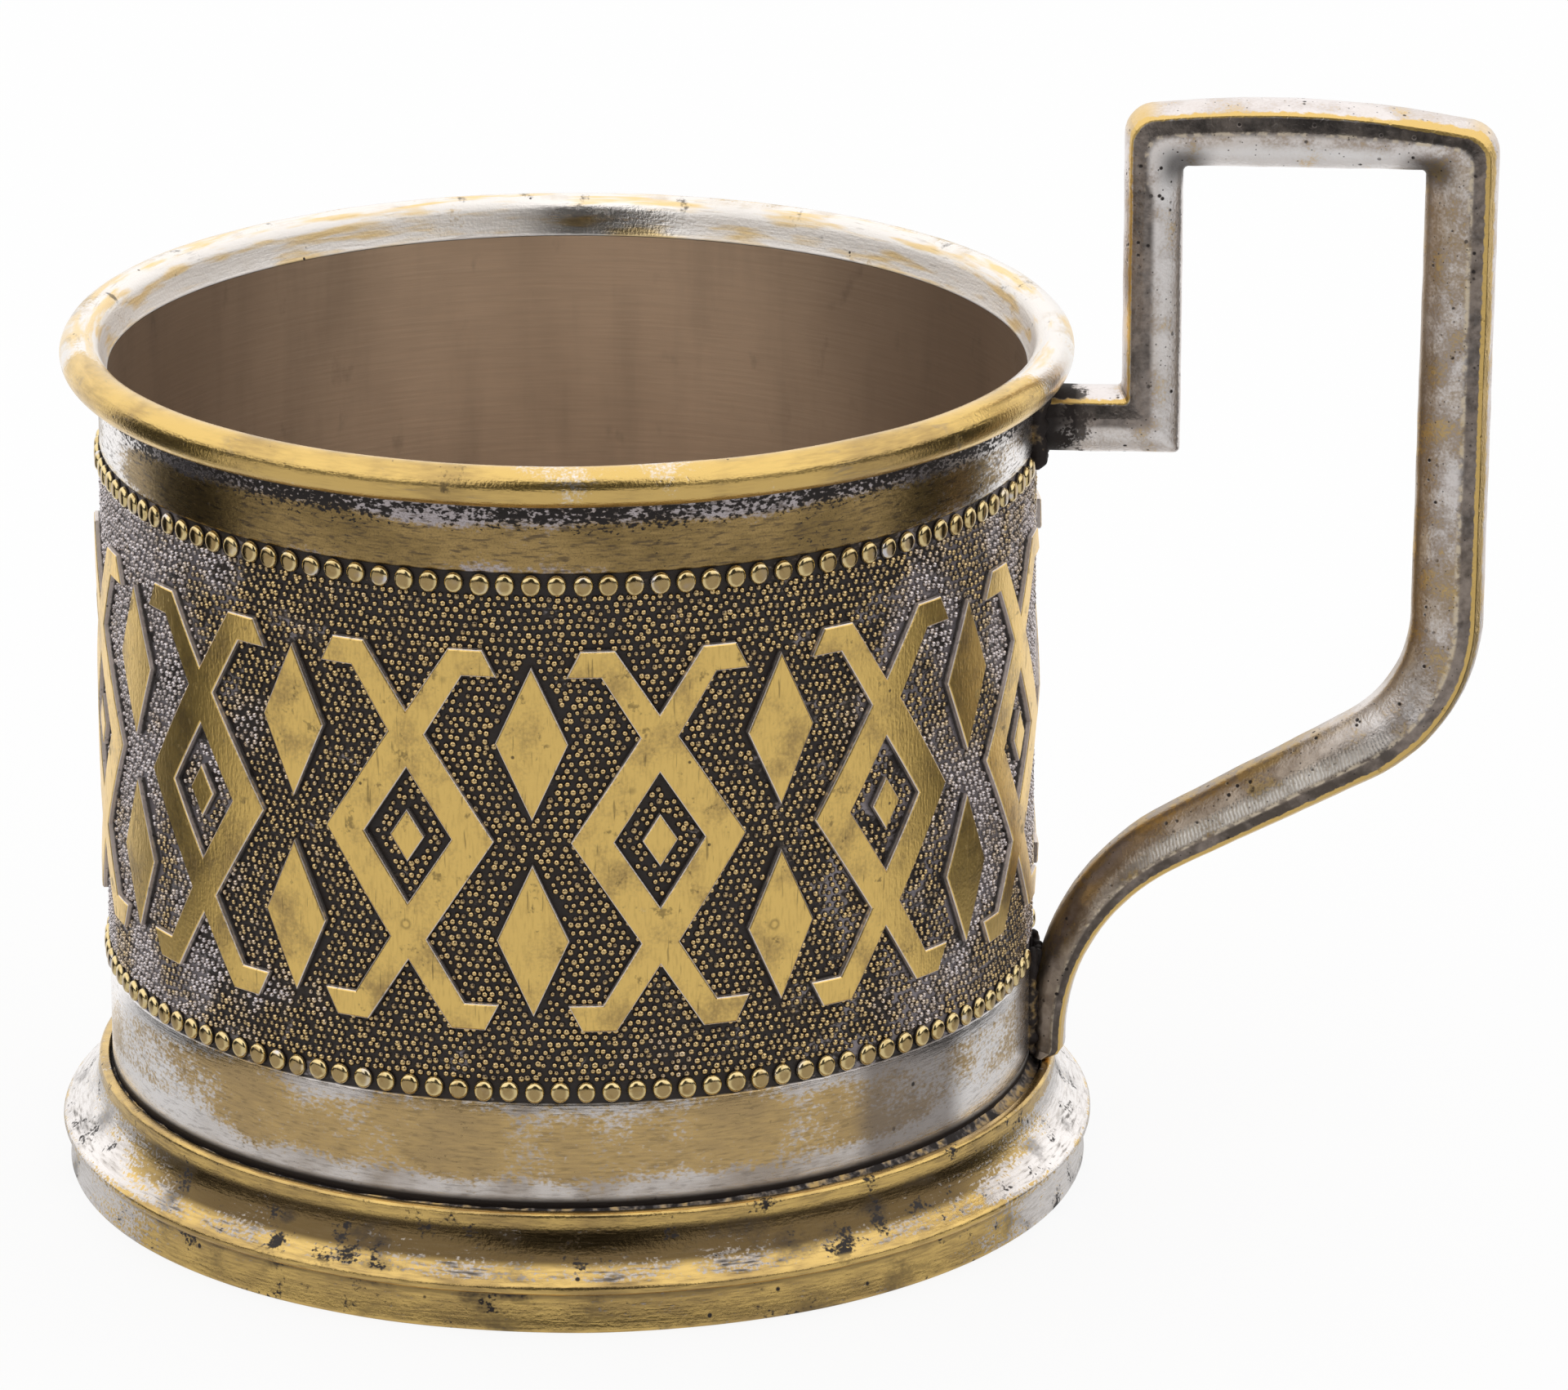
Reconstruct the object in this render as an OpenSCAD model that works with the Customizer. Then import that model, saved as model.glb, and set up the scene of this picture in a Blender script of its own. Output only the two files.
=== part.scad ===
// Tea glass holder: a stamped sleeve with a raised frieze between two bead rows, a rolled rim,
// a stepped foot ring, a floor the glass stands on, and one cast handle, all soldered together.
// Heights are measured from the table. The finished pieces are lowered so that the origin is the
// centre of the glass's seat, with +Z up and +X towards the handle.

/* [Sleeve] */
// Outer radius of the sleeve
sleeve_r = 35; // [33:0.5:40]
// Thickness of the sleeve's sheet
sheet = 0.7; // [0.5:0.1:1.2]
// Height of the sleeve's upper edge
sleeve_top = 62.4; // [60:0.2:70]
// Height of the sleeve's lower edge, inside the foot
sleeve_bottom = 4.4; // [3.8:0.1:5.2]
// Gap between the two edges of the rolled sheet
seam_gap = 0.5; // [0.3:0.1:1]

/* [Bead rows] */
// Beads that a full row would hold
bead_count = 118; // [90:2:124]
// Radius of one bead
bead_r = 0.7; // [0.5:0.05:0.8]
// How far a bead's centre lies inside the sleeve's surface
bead_sink = 0.15; // [0.1:0.05:0.3]
// Height of the lower row
lower_row = 17.35; // [15:0.1:19]
// How far the upper row lies below the sleeve's upper edge
upper_row_drop = 6.4; // [5:0.1:8]

/* [Frieze] */
// Horned lozenges round the sleeve
motif_count = 12; // [8:1:12]
// How far the frieze stands above the sleeve
relief = 0.5; // [0.3:0.1:0.8]
// Half width of the large lozenge
lozenge_w = 6.4; // [5:0.2:6.6]
// Half height of the large lozenge
lozenge_h = 10; // [8:0.5:11]
// Width of the frieze's strokes
stroke = 2.6; // [1.6:0.1:3]
// Half height of the whole frieze
frieze_h = 14.5; // [13:0.5:15.5]
// Half width of the small solid lozenges
spindle_w = 2.6; // [1.5:0.1:2.8]
// Half height of the small solid lozenges
spindle_h = 5.8; // [4:0.2:6]
// Clear height between a small lozenge and the frieze's middle
spindle_rise = 1.7; // [1:0.1:2]

/* [Rim] */
// Radius of the rim's roll
roll_r = 1.5; // [1.2:0.1:1.8]
// How far the roll's middle lies outside the sleeve
roll_out = 1.3; // [1:0.1:1.5]
// How far the roll's middle lies above the sleeve's edge
roll_up = 1.4; // [1.2:0.1:1.6]

/* [Foot] */
// How far the foot stands out beyond the sleeve at the table
foot_out = 3.8; // [3:0.1:6]
// How far the foot's crest stands out beyond the sleeve
crest_out = 4.2; // [3.2:0.1:6.5]
// Height of the foot's crest
crest_z = 3.5; // [3.2:0.1:4]
// Height of the crest's rounded edge
crest_h = 0.9; // [0.6:0.1:1.1]
// Height of the foot's lip
lip_z = 8.4; // [7.8:0.1:9.4]
// Width of the lip round the groove
lip_w = 0.8; // [0.6:0.1:1.4]
// Width of the groove between the sleeve and the lip
groove_w = 0.6; // [0.5:0.05:0.9]
// How far the foot sits off the sleeve's axis, towards the handle
foot_shift = 0.4; // [0:0.05:0.45]
// Width of the ring that the foot stands on
tread_w = 1.2; // [0.8:0.1:2]

/* [Floor] */
// Height of the glass's seat above the table
seat_z = 8.4; // [7.6:0.1:10]
// Thickness of the floor
floor_t = 0.8; // [0.6:0.1:1.2]
// Radius of the air hole in the floor
air_hole_r = 4.5; // [2:0.5:10]

/* [Handle] */
// Width of the handle across its outer face
bar_w = 5.2; // [4:0.2:7]
// How far the handle's outer face is crowned
crown = 0.7; // [0.3:0.1:1]
// How far the upper arm's outer edge lies below the sleeve's upper edge
arm_drop = 1.9; // [1.5:0.1:2.6]
// Depth of the upper arm
arm_d = 4.2; // [3.4:0.1:5]
// Distance of the riser's outer edge from the sleeve
riser_out = 6.9; // [6.5:0.1:9]
// Depth of the riser
riser_d = 3.8; // [3.2:0.1:4.6]
// How far the handle's top stands above the sleeve's upper edge
top_rise = 20; // [14:0.5:28]
// Depth of the top bar
top_d = 4; // [3.4:0.1:5]
// How far the top bar bows up
top_bow = 0.8; // [0:0.1:1.2]
// How far the top bar falls towards the grip
top_fall = 1; // [0:0.1:1.5]
// Distance of the grip's outer edge from the sleeve
grip_out = 33.3; // [28:0.1:40]
// Depth of the grip
grip_d = 4.7; // [3.8:0.1:5.4]
// How far the grip leans in over its height
grip_lean = 0.5; // [0:0.1:1]
// Height of the sweep's lower corner above the foot's lip
ankle_up = 11.3; // [10.5:0.1:13]
// Height of the grip's lower corner above the sweep's lower corner
heel_up = 15.7; // [13:0.1:18]
// Depth of the sweep next to the grip
sweep_d = 4.8; // [4:0.1:5.2]
// Depth of the sweep next to the tail
ankle_d = 3.5; // [3:0.1:4]
// Distance of the tail's outer edge from the sleeve
tail_out = 2.3; // [1.8:0.1:3]
// Gap between the tail and the foot's lip
tail_gap = 0.1; // [0.05:0.05:0.5]

/* [Hidden] */
overrun = 1;
round_fn = 96;
fine_fn = 720;
bead_fn = 24;

// Sleeve
well_r = sleeve_r - sheet;
// Below the seat the sleeve's wall is thinner, which leaves a ledge for the floor's flange
ledge_share = 0.52;
ledge_r = well_r + sheet * ledge_share;
flange_drop = 0.1;
ledge_z = seat_z - flange_drop;
sleeve_span = sleeve_top - sleeve_bottom;
bead_pitch = 360 / bead_count;
row_gap_w = bar_w + 2 * bead_r;
row_gap_angle = asin(row_gap_w / 2 / sleeve_r) + bead_pitch / 2;

// Frieze
upper_row = sleeve_top - upper_row_drop;
frieze_z = (lower_row + upper_row) / 2;
motif_pitch = 360 / motif_count;
side_length = norm([lozenge_w, lozenge_h]);
window_share = 1 - stroke * side_length / (lozenge_w * lozenge_h);
core_share = 0.2;
horn_stroke_share = 0.8;
horn_w = horn_stroke_share * stroke * side_length / lozenge_h;
horn_root_z = lozenge_h - stroke / 2 * side_length / lozenge_w;
horn_lean_share = lozenge_w / lozenge_h;
barb_h = 2;
barb_out = 1;
barb_root_share = 0.1;
frieze_sink = 0.2;

// Rim
roll_axis_r = sleeve_r + roll_out;
roll_axis_z = sleeve_top + roll_up;
flare_angle = 160;
rim_fillet = 0.6;
rim_fillet_drop = 0.5;

// Foot
groove_r = sleeve_r + groove_w;
lip_r = groove_r + lip_w;
foot_r = sleeve_r + foot_out;
crest_r = sleeve_r + crest_out;
lip_round = 0.35;
lip_side = 0.3;
lip_side_z = lip_z - lip_round - lip_side;
crest_low_z = crest_z - crest_h / 2;
crest_high_z = crest_z + crest_h / 2;
crest_round = 0.3;
undercut = 0.5;
shoulder_w = 2;
shoulder_t = 1.2;
cove_steps = 8;
solder_level = 0.3;

// Floor
floor_fillet = 0.8;

// Handle
arm_z = sleeve_top - arm_drop;
top_z = sleeve_top + top_rise;
ankle_z = lip_z + ankle_up;
heel_z = ankle_z + heel_up;
riser_x = sleeve_r + riser_out;
grip_x = sleeve_r + grip_out;
tail_x = sleeve_r + tail_out;
tail_z = lip_z + tail_gap;
root_sink = 2;
hollow_r = 0.5;
shoulder_r = 2;
mitre_r = 0.4;
heel_r = 14;
ankle_r = 16;
corner_steps = 5;
bend_steps = 9;
bow_steps = 4;
solder_w = 1.1;
solder_out = 1.4;
solder_up = 0.7;
solder_rim_share = 0.25;
crotch_stations = 2;
crotch_up = 0.78;
crotch_w_share = 0.58;

// Lowers a piece built from the table up, so that the seat's centre is the origin
module seated() {
  translate([0, 0, -seat_z]) children();
}

// Tube between two radii, standing on height z
module tube(outer_r, inner_r, z, h) {
  translate([0, 0, z])
    difference() {
      cylinder(r = outer_r, h = h, $fn = round_fn);
      translate([0, 0, -overrun]) cylinder(r = inner_r, h = h + 2 * overrun, $fn = round_fn);
    }
}

// Thin upright slab on the handle's side, as wide as the seam
module seam_slab(z, h) {
  translate([0, -seam_gap / 2, z]) cube([sleeve_r + relief + overrun, seam_gap, h]);
}

// One row of beads, which stops short of the handle
module bead_row(z) {
  for (i = [0 : bead_count - 1]) {
    angle = (i + 0.5) * bead_pitch;
    if (angle > row_gap_angle && angle < 360 - row_gap_angle)
      rotate([0, 0, angle])
        translate([sleeve_r - bead_sink, 0, z]) sphere(r = bead_r, $fn = bead_fn);
  }
}

// Solid lozenge of the given half sizes
module lozenge(w, h) {
  polygon([[-w, 0], [0, h], [w, 0], [0, -h]]);
}

// Horn that goes on from one side of the large lozenge and ends in a barb
module horn() {
  tip_x = (frieze_h - horn_root_z) * horn_lean_share;
  polygon([
    [-horn_w / 2, horn_root_z],
    [horn_w / 2, horn_root_z],
    [tip_x - horn_w * barb_root_share, frieze_h - barb_h],
    [tip_x + horn_w / 2 + barb_out, frieze_h - barb_h],
    [tip_x + horn_w / 2, frieze_h],
    [tip_x - horn_w / 2, frieze_h]
  ]);
}

// Large open lozenge with four horns and a small lozenge in its window
module horned_lozenge() {
  difference() {
    lozenge(lozenge_w, lozenge_h);
    lozenge(lozenge_w * window_share, lozenge_h * window_share);
  }
  lozenge(lozenge_w * core_share, lozenge_h * core_share);
  for (x_side = [0, 1])
    for (z_side = [0, 1])
      mirror([x_side, 0]) mirror([0, z_side]) horn();
}

// Two solid lozenges, one above the other
module spindles() {
  for (side = [-1, 1])
    translate([0, side * (spindle_rise + spindle_h)]) lozenge(spindle_w, spindle_h);
}

// Stands a flat outline up at the given angle and carries it outwards through the sleeve
module stamped(angle) {
  rotate([90, 0, 90 + angle])
    translate([0, frieze_z, sleeve_r / 2])
      linear_extrude(sleeve_r / 2 + relief + overrun) children();
}

module frieze() {
  intersection() {
    tube(sleeve_r + relief, sleeve_r - frieze_sink, frieze_z - frieze_h - overrun,
         2 * (frieze_h + overrun));
    union() {
      for (i = [0 : motif_count - 1])
        stamped((i + 0.5) * motif_pitch) horned_lozenge();
      for (i = [1 : motif_count - 1])
        stamped(i * motif_pitch) spindles();
    }
  }
}

module sleeve() {
  color([0.66, 0.58, 0.40])
    seated()
      difference() {
        union() {
          translate([0, 0, sleeve_bottom])
            cylinder(r = sleeve_r, h = sleeve_span, $fn = round_fn);
          bead_row(lower_row);
          bead_row(upper_row);
          frieze();
        }
        translate([0, 0, sleeve_bottom - overrun])
          cylinder(r = well_r, h = sleeve_span + 2 * overrun, $fn = round_fn);
        translate([0, 0, sleeve_bottom - overrun])
          cylinder(r = ledge_r, h = ledge_z - sleeve_bottom + overrun, $fn = round_fn);
        seam_slab(sleeve_bottom - overrun, sleeve_span + 2 * overrun);
      }
}

module sleeve_seam_solder() {
  color([0.45, 0.43, 0.40])
    seated()
      intersection() {
        union() {
          tube(sleeve_r, ledge_r, sleeve_bottom, sleeve_span);
          tube(sleeve_r, well_r, ledge_z, sleeve_top - ledge_z);
        }
        seam_slab(sleeve_bottom, sleeve_span);
      }
}

// Rolled rim: a round roll whose inner side flares down to the sleeve's inner wall
module rim_ring() {
  color([0.80, 0.66, 0.33])
    seated()
      rotate_extrude($fn = round_fn) {
        translate([roll_axis_r, roll_axis_z]) circle(r = roll_r, $fn = round_fn);
        polygon([
          [well_r, sleeve_top],
          [roll_axis_r, sleeve_top],
          [roll_axis_r, roll_axis_z],
          [roll_axis_r + roll_r * cos(flare_angle), roll_axis_z + roll_r * sin(flare_angle)]
        ]);
      }
}

// Fillet of solder in the corner under the rim
module rim_solder() {
  color([0.45, 0.43, 0.40])
    seated()
      rotate_extrude($fn = round_fn)
        polygon([
          [sleeve_r, sleeve_top - rim_fillet_drop],
          [sleeve_r + rim_fillet, sleeve_top],
          [sleeve_r, sleeve_top]
        ]);
}

// Points of the hollow curve between the foot's crest and its lip
function cove() = [
  for (i = [0 : cove_steps])
    let (a = 90 * i / cove_steps)
      [crest_r - crest_round - (crest_r - crest_round - lip_r) * sin(a),
       lip_side_z - (lip_side_z - crest_high_z) * cos(a)]
];

module foot_ring() {
  color([0.74, 0.62, 0.34])
    seated()
      translate([foot_shift, 0, 0])
        rotate_extrude($fn = round_fn)
          polygon(concat(
            [[foot_r - tread_w, 0], [foot_r, 0], [foot_r - undercut, crest_low_z - crest_round],
             [crest_r - crest_round, crest_low_z], [crest_r, crest_low_z + crest_round],
             [crest_r, crest_high_z - crest_round]],
            cove(),
            [[lip_r, lip_z - lip_round], [lip_r - lip_round, lip_z], [groove_r, lip_z],
             [groove_r, sleeve_bottom], [sleeve_r - shoulder_w, sleeve_bottom],
             [sleeve_r - shoulder_w, sleeve_bottom - shoulder_t],
             [groove_r, sleeve_bottom - shoulder_t]]
          ));
}

// Solder that fills the groove between the sleeve and the foot
module foot_solder() {
  color([0.35, 0.33, 0.31])
    seated()
      difference() {
        translate([foot_shift, 0, sleeve_bottom])
          cylinder(r = groove_r, h = lip_z - solder_level - sleeve_bottom, $fn = round_fn);
        translate([0, 0, sleeve_bottom - overrun])
          cylinder(r = sleeve_r, h = lip_z, $fn = round_fn);
      }
}

// Floor with a flange that bears on the sleeve's ledge from below
module floor_disc() {
  color([0.60, 0.53, 0.44])
    seated()
      rotate_extrude($fn = round_fn)
        polygon([
          [air_hole_r, seat_z - floor_t],
          [ledge_r, seat_z - floor_t],
          [ledge_r, ledge_z],
          [well_r, ledge_z],
          [well_r, seat_z],
          [air_hole_r, seat_z]
        ]);
}

// Fillet of solder in the corner under the floor
module floor_solder() {
  color([0.45, 0.43, 0.40])
    seated()
      rotate_extrude($fn = round_fn)
        polygon([
          [ledge_r, seat_z - floor_t - floor_fillet],
          [ledge_r, seat_z - floor_t],
          [ledge_r - floor_fillet, seat_z - floor_t]
        ]);
}

// Unit vector from one point to another
function towards(a, b) = (b - a) / norm(b - a);

// Points of an arc that rounds the corner b of the path a, b, c with the given radius
function rounded(a, b, c, r, steps) =
  let (
    u = towards(b, a),
    v = towards(b, c),
    half = acos(u * v) / 2,
    mid = b + towards([0, 0], u + v) * r / sin(half),
    p = b + u * r / tan(half) - mid,
    q = b + v * r / tan(half) - mid,
    sweep = acos(p * q / (r * r))
  )
  [for (i = [0 : steps])
    let (t = i / steps)
      mid + (sin((1 - t) * sweep) * p + sin(t * sweep) * q) / sin(sweep)];

// Points between a and b, lifted towards the middle by bow
function bowed(a, b, bow) = [
  for (i = [1 : bow_steps - 1])
    let (t = i / bow_steps)
      a + (b - a) * t + [0, 4 * bow * t * (1 - t)]
];

// Height at x of the straight line through a and b
function line_z(a, b, x) = a[1] + (b[1] - a[1]) * (x - a[0]) / (b[0] - a[0]);

// Corners of the handle's outer edge, from the sleeve round to the tail
outer_root = [sleeve_r - root_sink, arm_z];
outer_elbow = [riser_x, arm_z];
outer_top = [riser_x, top_z];
outer_far = [grip_x, top_z - top_fall];
outer_heel = [grip_x - grip_lean, heel_z];
outer_ankle = [tail_x, ankle_z];
outer_tail = [tail_x, tail_z];

// Corners of its inner edge
sweep_slope = towards(outer_ankle, outer_heel);
inner_root = [sleeve_r - root_sink, arm_z - arm_d];
inner_elbow = [riser_x + riser_d, arm_z - arm_d];
inner_top = [riser_x + riser_d, top_z - top_d];
inner_far = [grip_x - grip_d, top_z - top_d];
inner_heel_x = grip_x - grip_d - grip_lean;
inner_heel = [inner_heel_x, line_z(outer_ankle, outer_heel, inner_heel_x) + sweep_d / sweep_slope[0]];
inner_ankle_x = tail_x - tail_out;
inner_ankle = [inner_ankle_x, line_z(outer_ankle, outer_heel, inner_ankle_x) + ankle_d / sweep_slope[0]];
inner_tail = [inner_ankle_x, tail_z];
inner_bend = rounded(inner_heel, inner_ankle, inner_tail, ankle_r + ankle_d, bend_steps);

// Lowest points of the inner bend that stand clear of the sleeve, and the solder's top above them
crotch_edge = [for (i = [bend_steps - crotch_stations : bend_steps - 1]) inner_bend[i]];
crotch_z = crotch_edge[0][1] + crotch_up;

outer_edge = concat(
  [outer_root],
  rounded(outer_root, outer_elbow, outer_top, hollow_r, corner_steps),
  rounded(outer_elbow, outer_top, outer_far, shoulder_r, corner_steps),
  bowed(outer_top, outer_far, top_bow),
  rounded(outer_top, outer_far, outer_heel, shoulder_r, corner_steps),
  rounded(outer_far, outer_heel, outer_ankle, heel_r, bend_steps),
  rounded(outer_heel, outer_ankle, outer_tail, ankle_r, bend_steps),
  [outer_tail]
);

inner_edge = concat(
  [inner_root],
  rounded(inner_root, inner_elbow, inner_top, mitre_r, corner_steps),
  rounded(inner_elbow, inner_top, inner_far, mitre_r, corner_steps),
  bowed(inner_top, inner_far, 0),
  rounded(inner_top, inner_far, inner_heel, mitre_r, corner_steps),
  rounded(inner_far, inner_heel, inner_ankle, heel_r - grip_d, bend_steps),
  inner_bend,
  [inner_tail]
);

// Half of the handle's section: shares of its depth and of its half width
crown_share = crown / grip_d;
inner_face_share = 0.36;
half_section_shares = [[-0.75 * crown_share, 0.45], [0, 0.9], [0.28, 1], [0.85, 0.62],
                       [1, inner_face_share]];
section_shares = concat(
  [[-crown_share, 0]],
  half_section_shares,
  [for (i = [len(half_section_shares) - 1 : -1 : 0])
    [half_section_shares[i][0], -half_section_shares[i][1]]]
);

// Ring of points where the section crosses the handle between an outer and an inner point
function section_ring(o, n) = [
  for (s = section_shares)
    [o[0] + (n[0] - o[0]) * s[0], s[1] * bar_w / 2, o[1] + (n[1] - o[1]) * s[0]]
];

// Solid bar that carries the section along both edges
module swept_bar() {
  count = len(section_shares);
  stations = len(outer_edge);
  points = [for (i = [0 : stations - 1]) each section_ring(outer_edge[i], inner_edge[i])];
  start_cap = [for (j = [0 : count - 1]) count - 1 - j];
  end_cap = [for (j = [0 : count - 1]) (stations - 1) * count + j];
  sides = [
    for (i = [0 : stations - 2])
      for (j = [0 : count - 1])
        let (k = (j + 1) % count, low = i * count, high = low + count)
          each [[low + j, low + k, high + j], [low + k, high + k, high + j]]
  ];
  polyhedron(points, concat([start_cap], sides, [end_cap]));
}

module handle() {
  color([0.70, 0.67, 0.62])
    seated()
      difference() {
        swept_bar();
        sleeve_body();
      }
}

// Outline of the handle's section at the given depth, carried on past its inner face by reach
module section_outline(depth, reach) {
  face_w = bar_w * inner_face_share;
  polygon([for (s = section_shares) [s[1] * bar_w / 2, -depth * s[0]]]);
  translate([-face_w / 2, -depth - reach]) square([face_w, reach + depth / 2]);
}

// Block of solder round a root of the handle, cut to the sleeve
module solder_block(low_z, high_z) {
  difference() {
    translate([0, 0, low_z])
      linear_extrude(high_z - low_z)
        polygon([
          [sleeve_r - root_sink, -bar_w / 2 - solder_w],
          [sleeve_r + solder_out * solder_rim_share, -bar_w / 2 - solder_w],
          [sleeve_r + solder_out, -bar_w / 2],
          [sleeve_r + solder_out, bar_w / 2],
          [sleeve_r + solder_out * solder_rim_share, bar_w / 2 + solder_w],
          [sleeve_r - root_sink, bar_w / 2 + solder_w]
        ]);
    children();
    sleeve_body();
  }
}

// The sleeve's outer surface as a solid, for cutting what is soldered to it
module sleeve_body() {
  translate([0, 0, sleeve_bottom]) cylinder(r = sleeve_r, h = sleeve_span, $fn = fine_fn);
}

module upper_handle_solder() {
  color([0.30, 0.28, 0.26])
    seated()
      solder_block(arm_z - arm_d - solder_up, arm_z + solder_up)
        translate([0, 0, arm_z])
          rotate([90, 0, 90]) linear_extrude(riser_x) section_outline(arm_d, 0);
}

// Solder that fills the crotch between the sleeve and the tail as it bends away
module crotch_fill() {
  difference() {
    rotate([90, 0, 0])
      linear_extrude(bar_w * crotch_w_share, center = true)
        polygon(concat(
          [[sleeve_r - root_sink, crotch_edge[crotch_stations - 1][1]],
           [sleeve_r - root_sink, crotch_edge[0][1]]],
          crotch_edge
        ));
    sleeve_body();
  }
}

module lower_handle_solder() {
  color([0.30, 0.28, 0.26])
    seated() {
      solder_block(tail_z, crotch_z)
        translate([tail_x, 0, tail_z - overrun])
          rotate([0, 0, -90])
            linear_extrude(crotch_z) section_outline(tail_out, root_sink);
      crotch_fill();
    }
}

sleeve();
sleeve_seam_solder();
rim_ring();
rim_solder();
foot_ring();
foot_solder();
floor_disc();
floor_solder();
handle();
upper_handle_solder();
lower_handle_solder();
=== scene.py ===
"""Dresses a worn, silver-plated brass tea glass holder round its packed construction model.

Lengths are in metres unless a name ends in mm. The origin is the centre of the glass's seat,
+Z is up and +X points to the handle.
"""
import math

import bmesh
import bpy
import numpy as np
from bpy.props import FloatProperty, FloatVectorProperty, IntProperty, PointerProperty
from mathutils import Matrix, Vector, noise


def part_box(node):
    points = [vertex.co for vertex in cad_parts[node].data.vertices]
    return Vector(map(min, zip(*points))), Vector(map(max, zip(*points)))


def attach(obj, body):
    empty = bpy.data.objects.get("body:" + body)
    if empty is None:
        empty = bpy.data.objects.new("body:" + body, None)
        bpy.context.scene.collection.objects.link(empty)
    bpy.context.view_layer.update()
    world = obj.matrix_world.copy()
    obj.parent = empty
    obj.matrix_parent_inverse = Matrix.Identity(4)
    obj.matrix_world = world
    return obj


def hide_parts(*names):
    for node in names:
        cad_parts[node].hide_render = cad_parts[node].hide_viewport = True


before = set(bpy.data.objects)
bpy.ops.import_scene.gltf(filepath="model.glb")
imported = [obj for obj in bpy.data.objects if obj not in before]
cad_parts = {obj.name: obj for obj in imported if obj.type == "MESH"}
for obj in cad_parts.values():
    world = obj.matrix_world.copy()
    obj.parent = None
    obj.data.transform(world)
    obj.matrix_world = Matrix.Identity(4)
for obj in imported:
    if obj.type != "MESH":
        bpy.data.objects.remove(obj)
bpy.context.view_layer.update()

bl_info = {
    "name": "Tea Glass Holder",
    "version": (1, 0, 0),
    "blender": (4, 5, 0),
    "location": "View3D > Sidebar > Tea Holder",
    "description": "Builds the visible pieces and finishes of a metal tea glass holder",
    "category": "Object",
}

MM = 0.001
SEED = 7
MERGE = 1e-7
SLEEVE_SIDES, RING_SIDES, FLOOR_SIDES = 288, 320, 240

# Places taken from the construction model
TABLE_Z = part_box("foot_ring")[0].z
LIP_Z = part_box("foot_ring")[1].z
SLEEVE_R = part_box("sleeve_seam_solder")[1].x
WELL_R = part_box("sleeve_seam_solder")[0].x
SLEEVE_LOW, SLEEVE_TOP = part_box("sleeve")[0].z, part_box("sleeve")[1].z
RIM_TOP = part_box("rim_ring")[1].z
RIM_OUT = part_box("rim_ring")[1].x
FOOT_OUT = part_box("foot_ring")[1].y
FOOT_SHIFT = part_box("foot_ring")[1].x - FOOT_OUT
FLOOR_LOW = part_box("floor_disc")[0].z


def length(name, description, mm):
    """Setting for a length, with its default in millimetres."""
    return FloatProperty(name=name, description=description, default=mm * MM, unit="LENGTH")


def shade(name, description, colour):
    return FloatVectorProperty(
        name=name, description=description, default=colour, subtype="COLOR")


class SleeveSizes(bpy.types.PropertyGroup):
    lower_row: length("Lower row", "Height of the lower bead row above the table", 17.35)
    upper_row: length("Upper row", "Height of the upper bead row above the table", 56.0)
    bead_count: IntProperty(
        name="Beads", description="Beads that a full row would hold", default=118, min=60)
    bead_w: length("Bead width", "Width of one bead", 1.48)
    bead_h: length("Bead height", "Height of one bead along the sleeve", 1.66)
    ground_sink: length(
        "Ground depth", "How far the stippled ground lies below the smooth bands", 0.14)
    dome_pitch: length("Dome pitch", "Distance between the domes of the stippled ground", 0.615)
    dome_r: length("Dome radius", "Mean radius of one dome", 0.272)
    dome_h: length("Dome height", "Mean height of one dome", 0.23)


class FriezeSizes(bpy.types.PropertyGroup):
    motifs: IntProperty(name="Lozenges", description="Horned lozenges round the sleeve", default=12)
    relief: length("Relief", "How far the frieze stands above the sleeve", 0.5)
    lozenge_w: length("Lozenge half width", "Half width of the large lozenge", 6.4)
    lozenge_h: length("Lozenge half height", "Half height of the large lozenge", 10.0)
    stroke: length("Stroke", "Width of the frieze's strokes", 2.6)
    half_h: length("Frieze half height", "Half height of the whole frieze", 14.5)
    spindle_w: length("Spindle half width", "Half width of the small lozenges", 2.6)
    spindle_h: length("Spindle half height", "Half height of the small lozenges", 5.8)
    spindle_rise: length("Spindle rise", "Clear height between a small lozenge and the middle", 1.7)


class HandleSizes(bpy.types.PropertyGroup):
    bar_w: length("Bar width", "Width of the handle across", 5.2)
    crown: length("Crown", "How far the outer face is crowned", 0.7)
    station_gap: length("Station gap", "Distance between the rings of the swept bar", 0.7)
    unevenness: length("Unevenness", "How far the cast surface wanders", 0.05)


class Finish(bpy.types.PropertyGroup):
    brass: shade("Brass", "Polished brass", (0.80, 0.55, 0.19))
    old_brass: shade("Old brass", "Brass dulled by handling", (0.48, 0.325, 0.13))
    silver: shade("Silver", "Silver plate", (0.76, 0.73, 0.74))
    grey_silver: shade("Grey silver", "Tarnished silver plate", (0.30, 0.28, 0.29))
    patina: shade("Patina", "Black-brown tarnish in the recesses", (0.022, 0.015, 0.013))
    lining: shade("Lining", "Brushed inner wall", (0.72, 0.53, 0.37))


class Stage(bpy.types.PropertyGroup):
    ceiling: FloatProperty(
        name="Ceiling light", description="Strength of the soft light overhead", default=1.15)
    sides: FloatProperty(
        name="Side light", description="Strength of the white beside and behind the object",
        default=1.0)
    gloom: FloatProperty(
        name="Front gloom", description="Strength of the dark room in front", default=0.03)
    table: FloatProperty(
        name="Table light", description="Brightness of the table in reflections", default=0.62)


def sleeve_sizes():
    return bpy.context.scene.holder_sleeve


def frieze_sizes():
    return bpy.context.scene.holder_frieze


def handle_sizes():
    return bpy.context.scene.holder_handle


def finish():
    return bpy.context.scene.holder_finish


# Meshes

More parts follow.
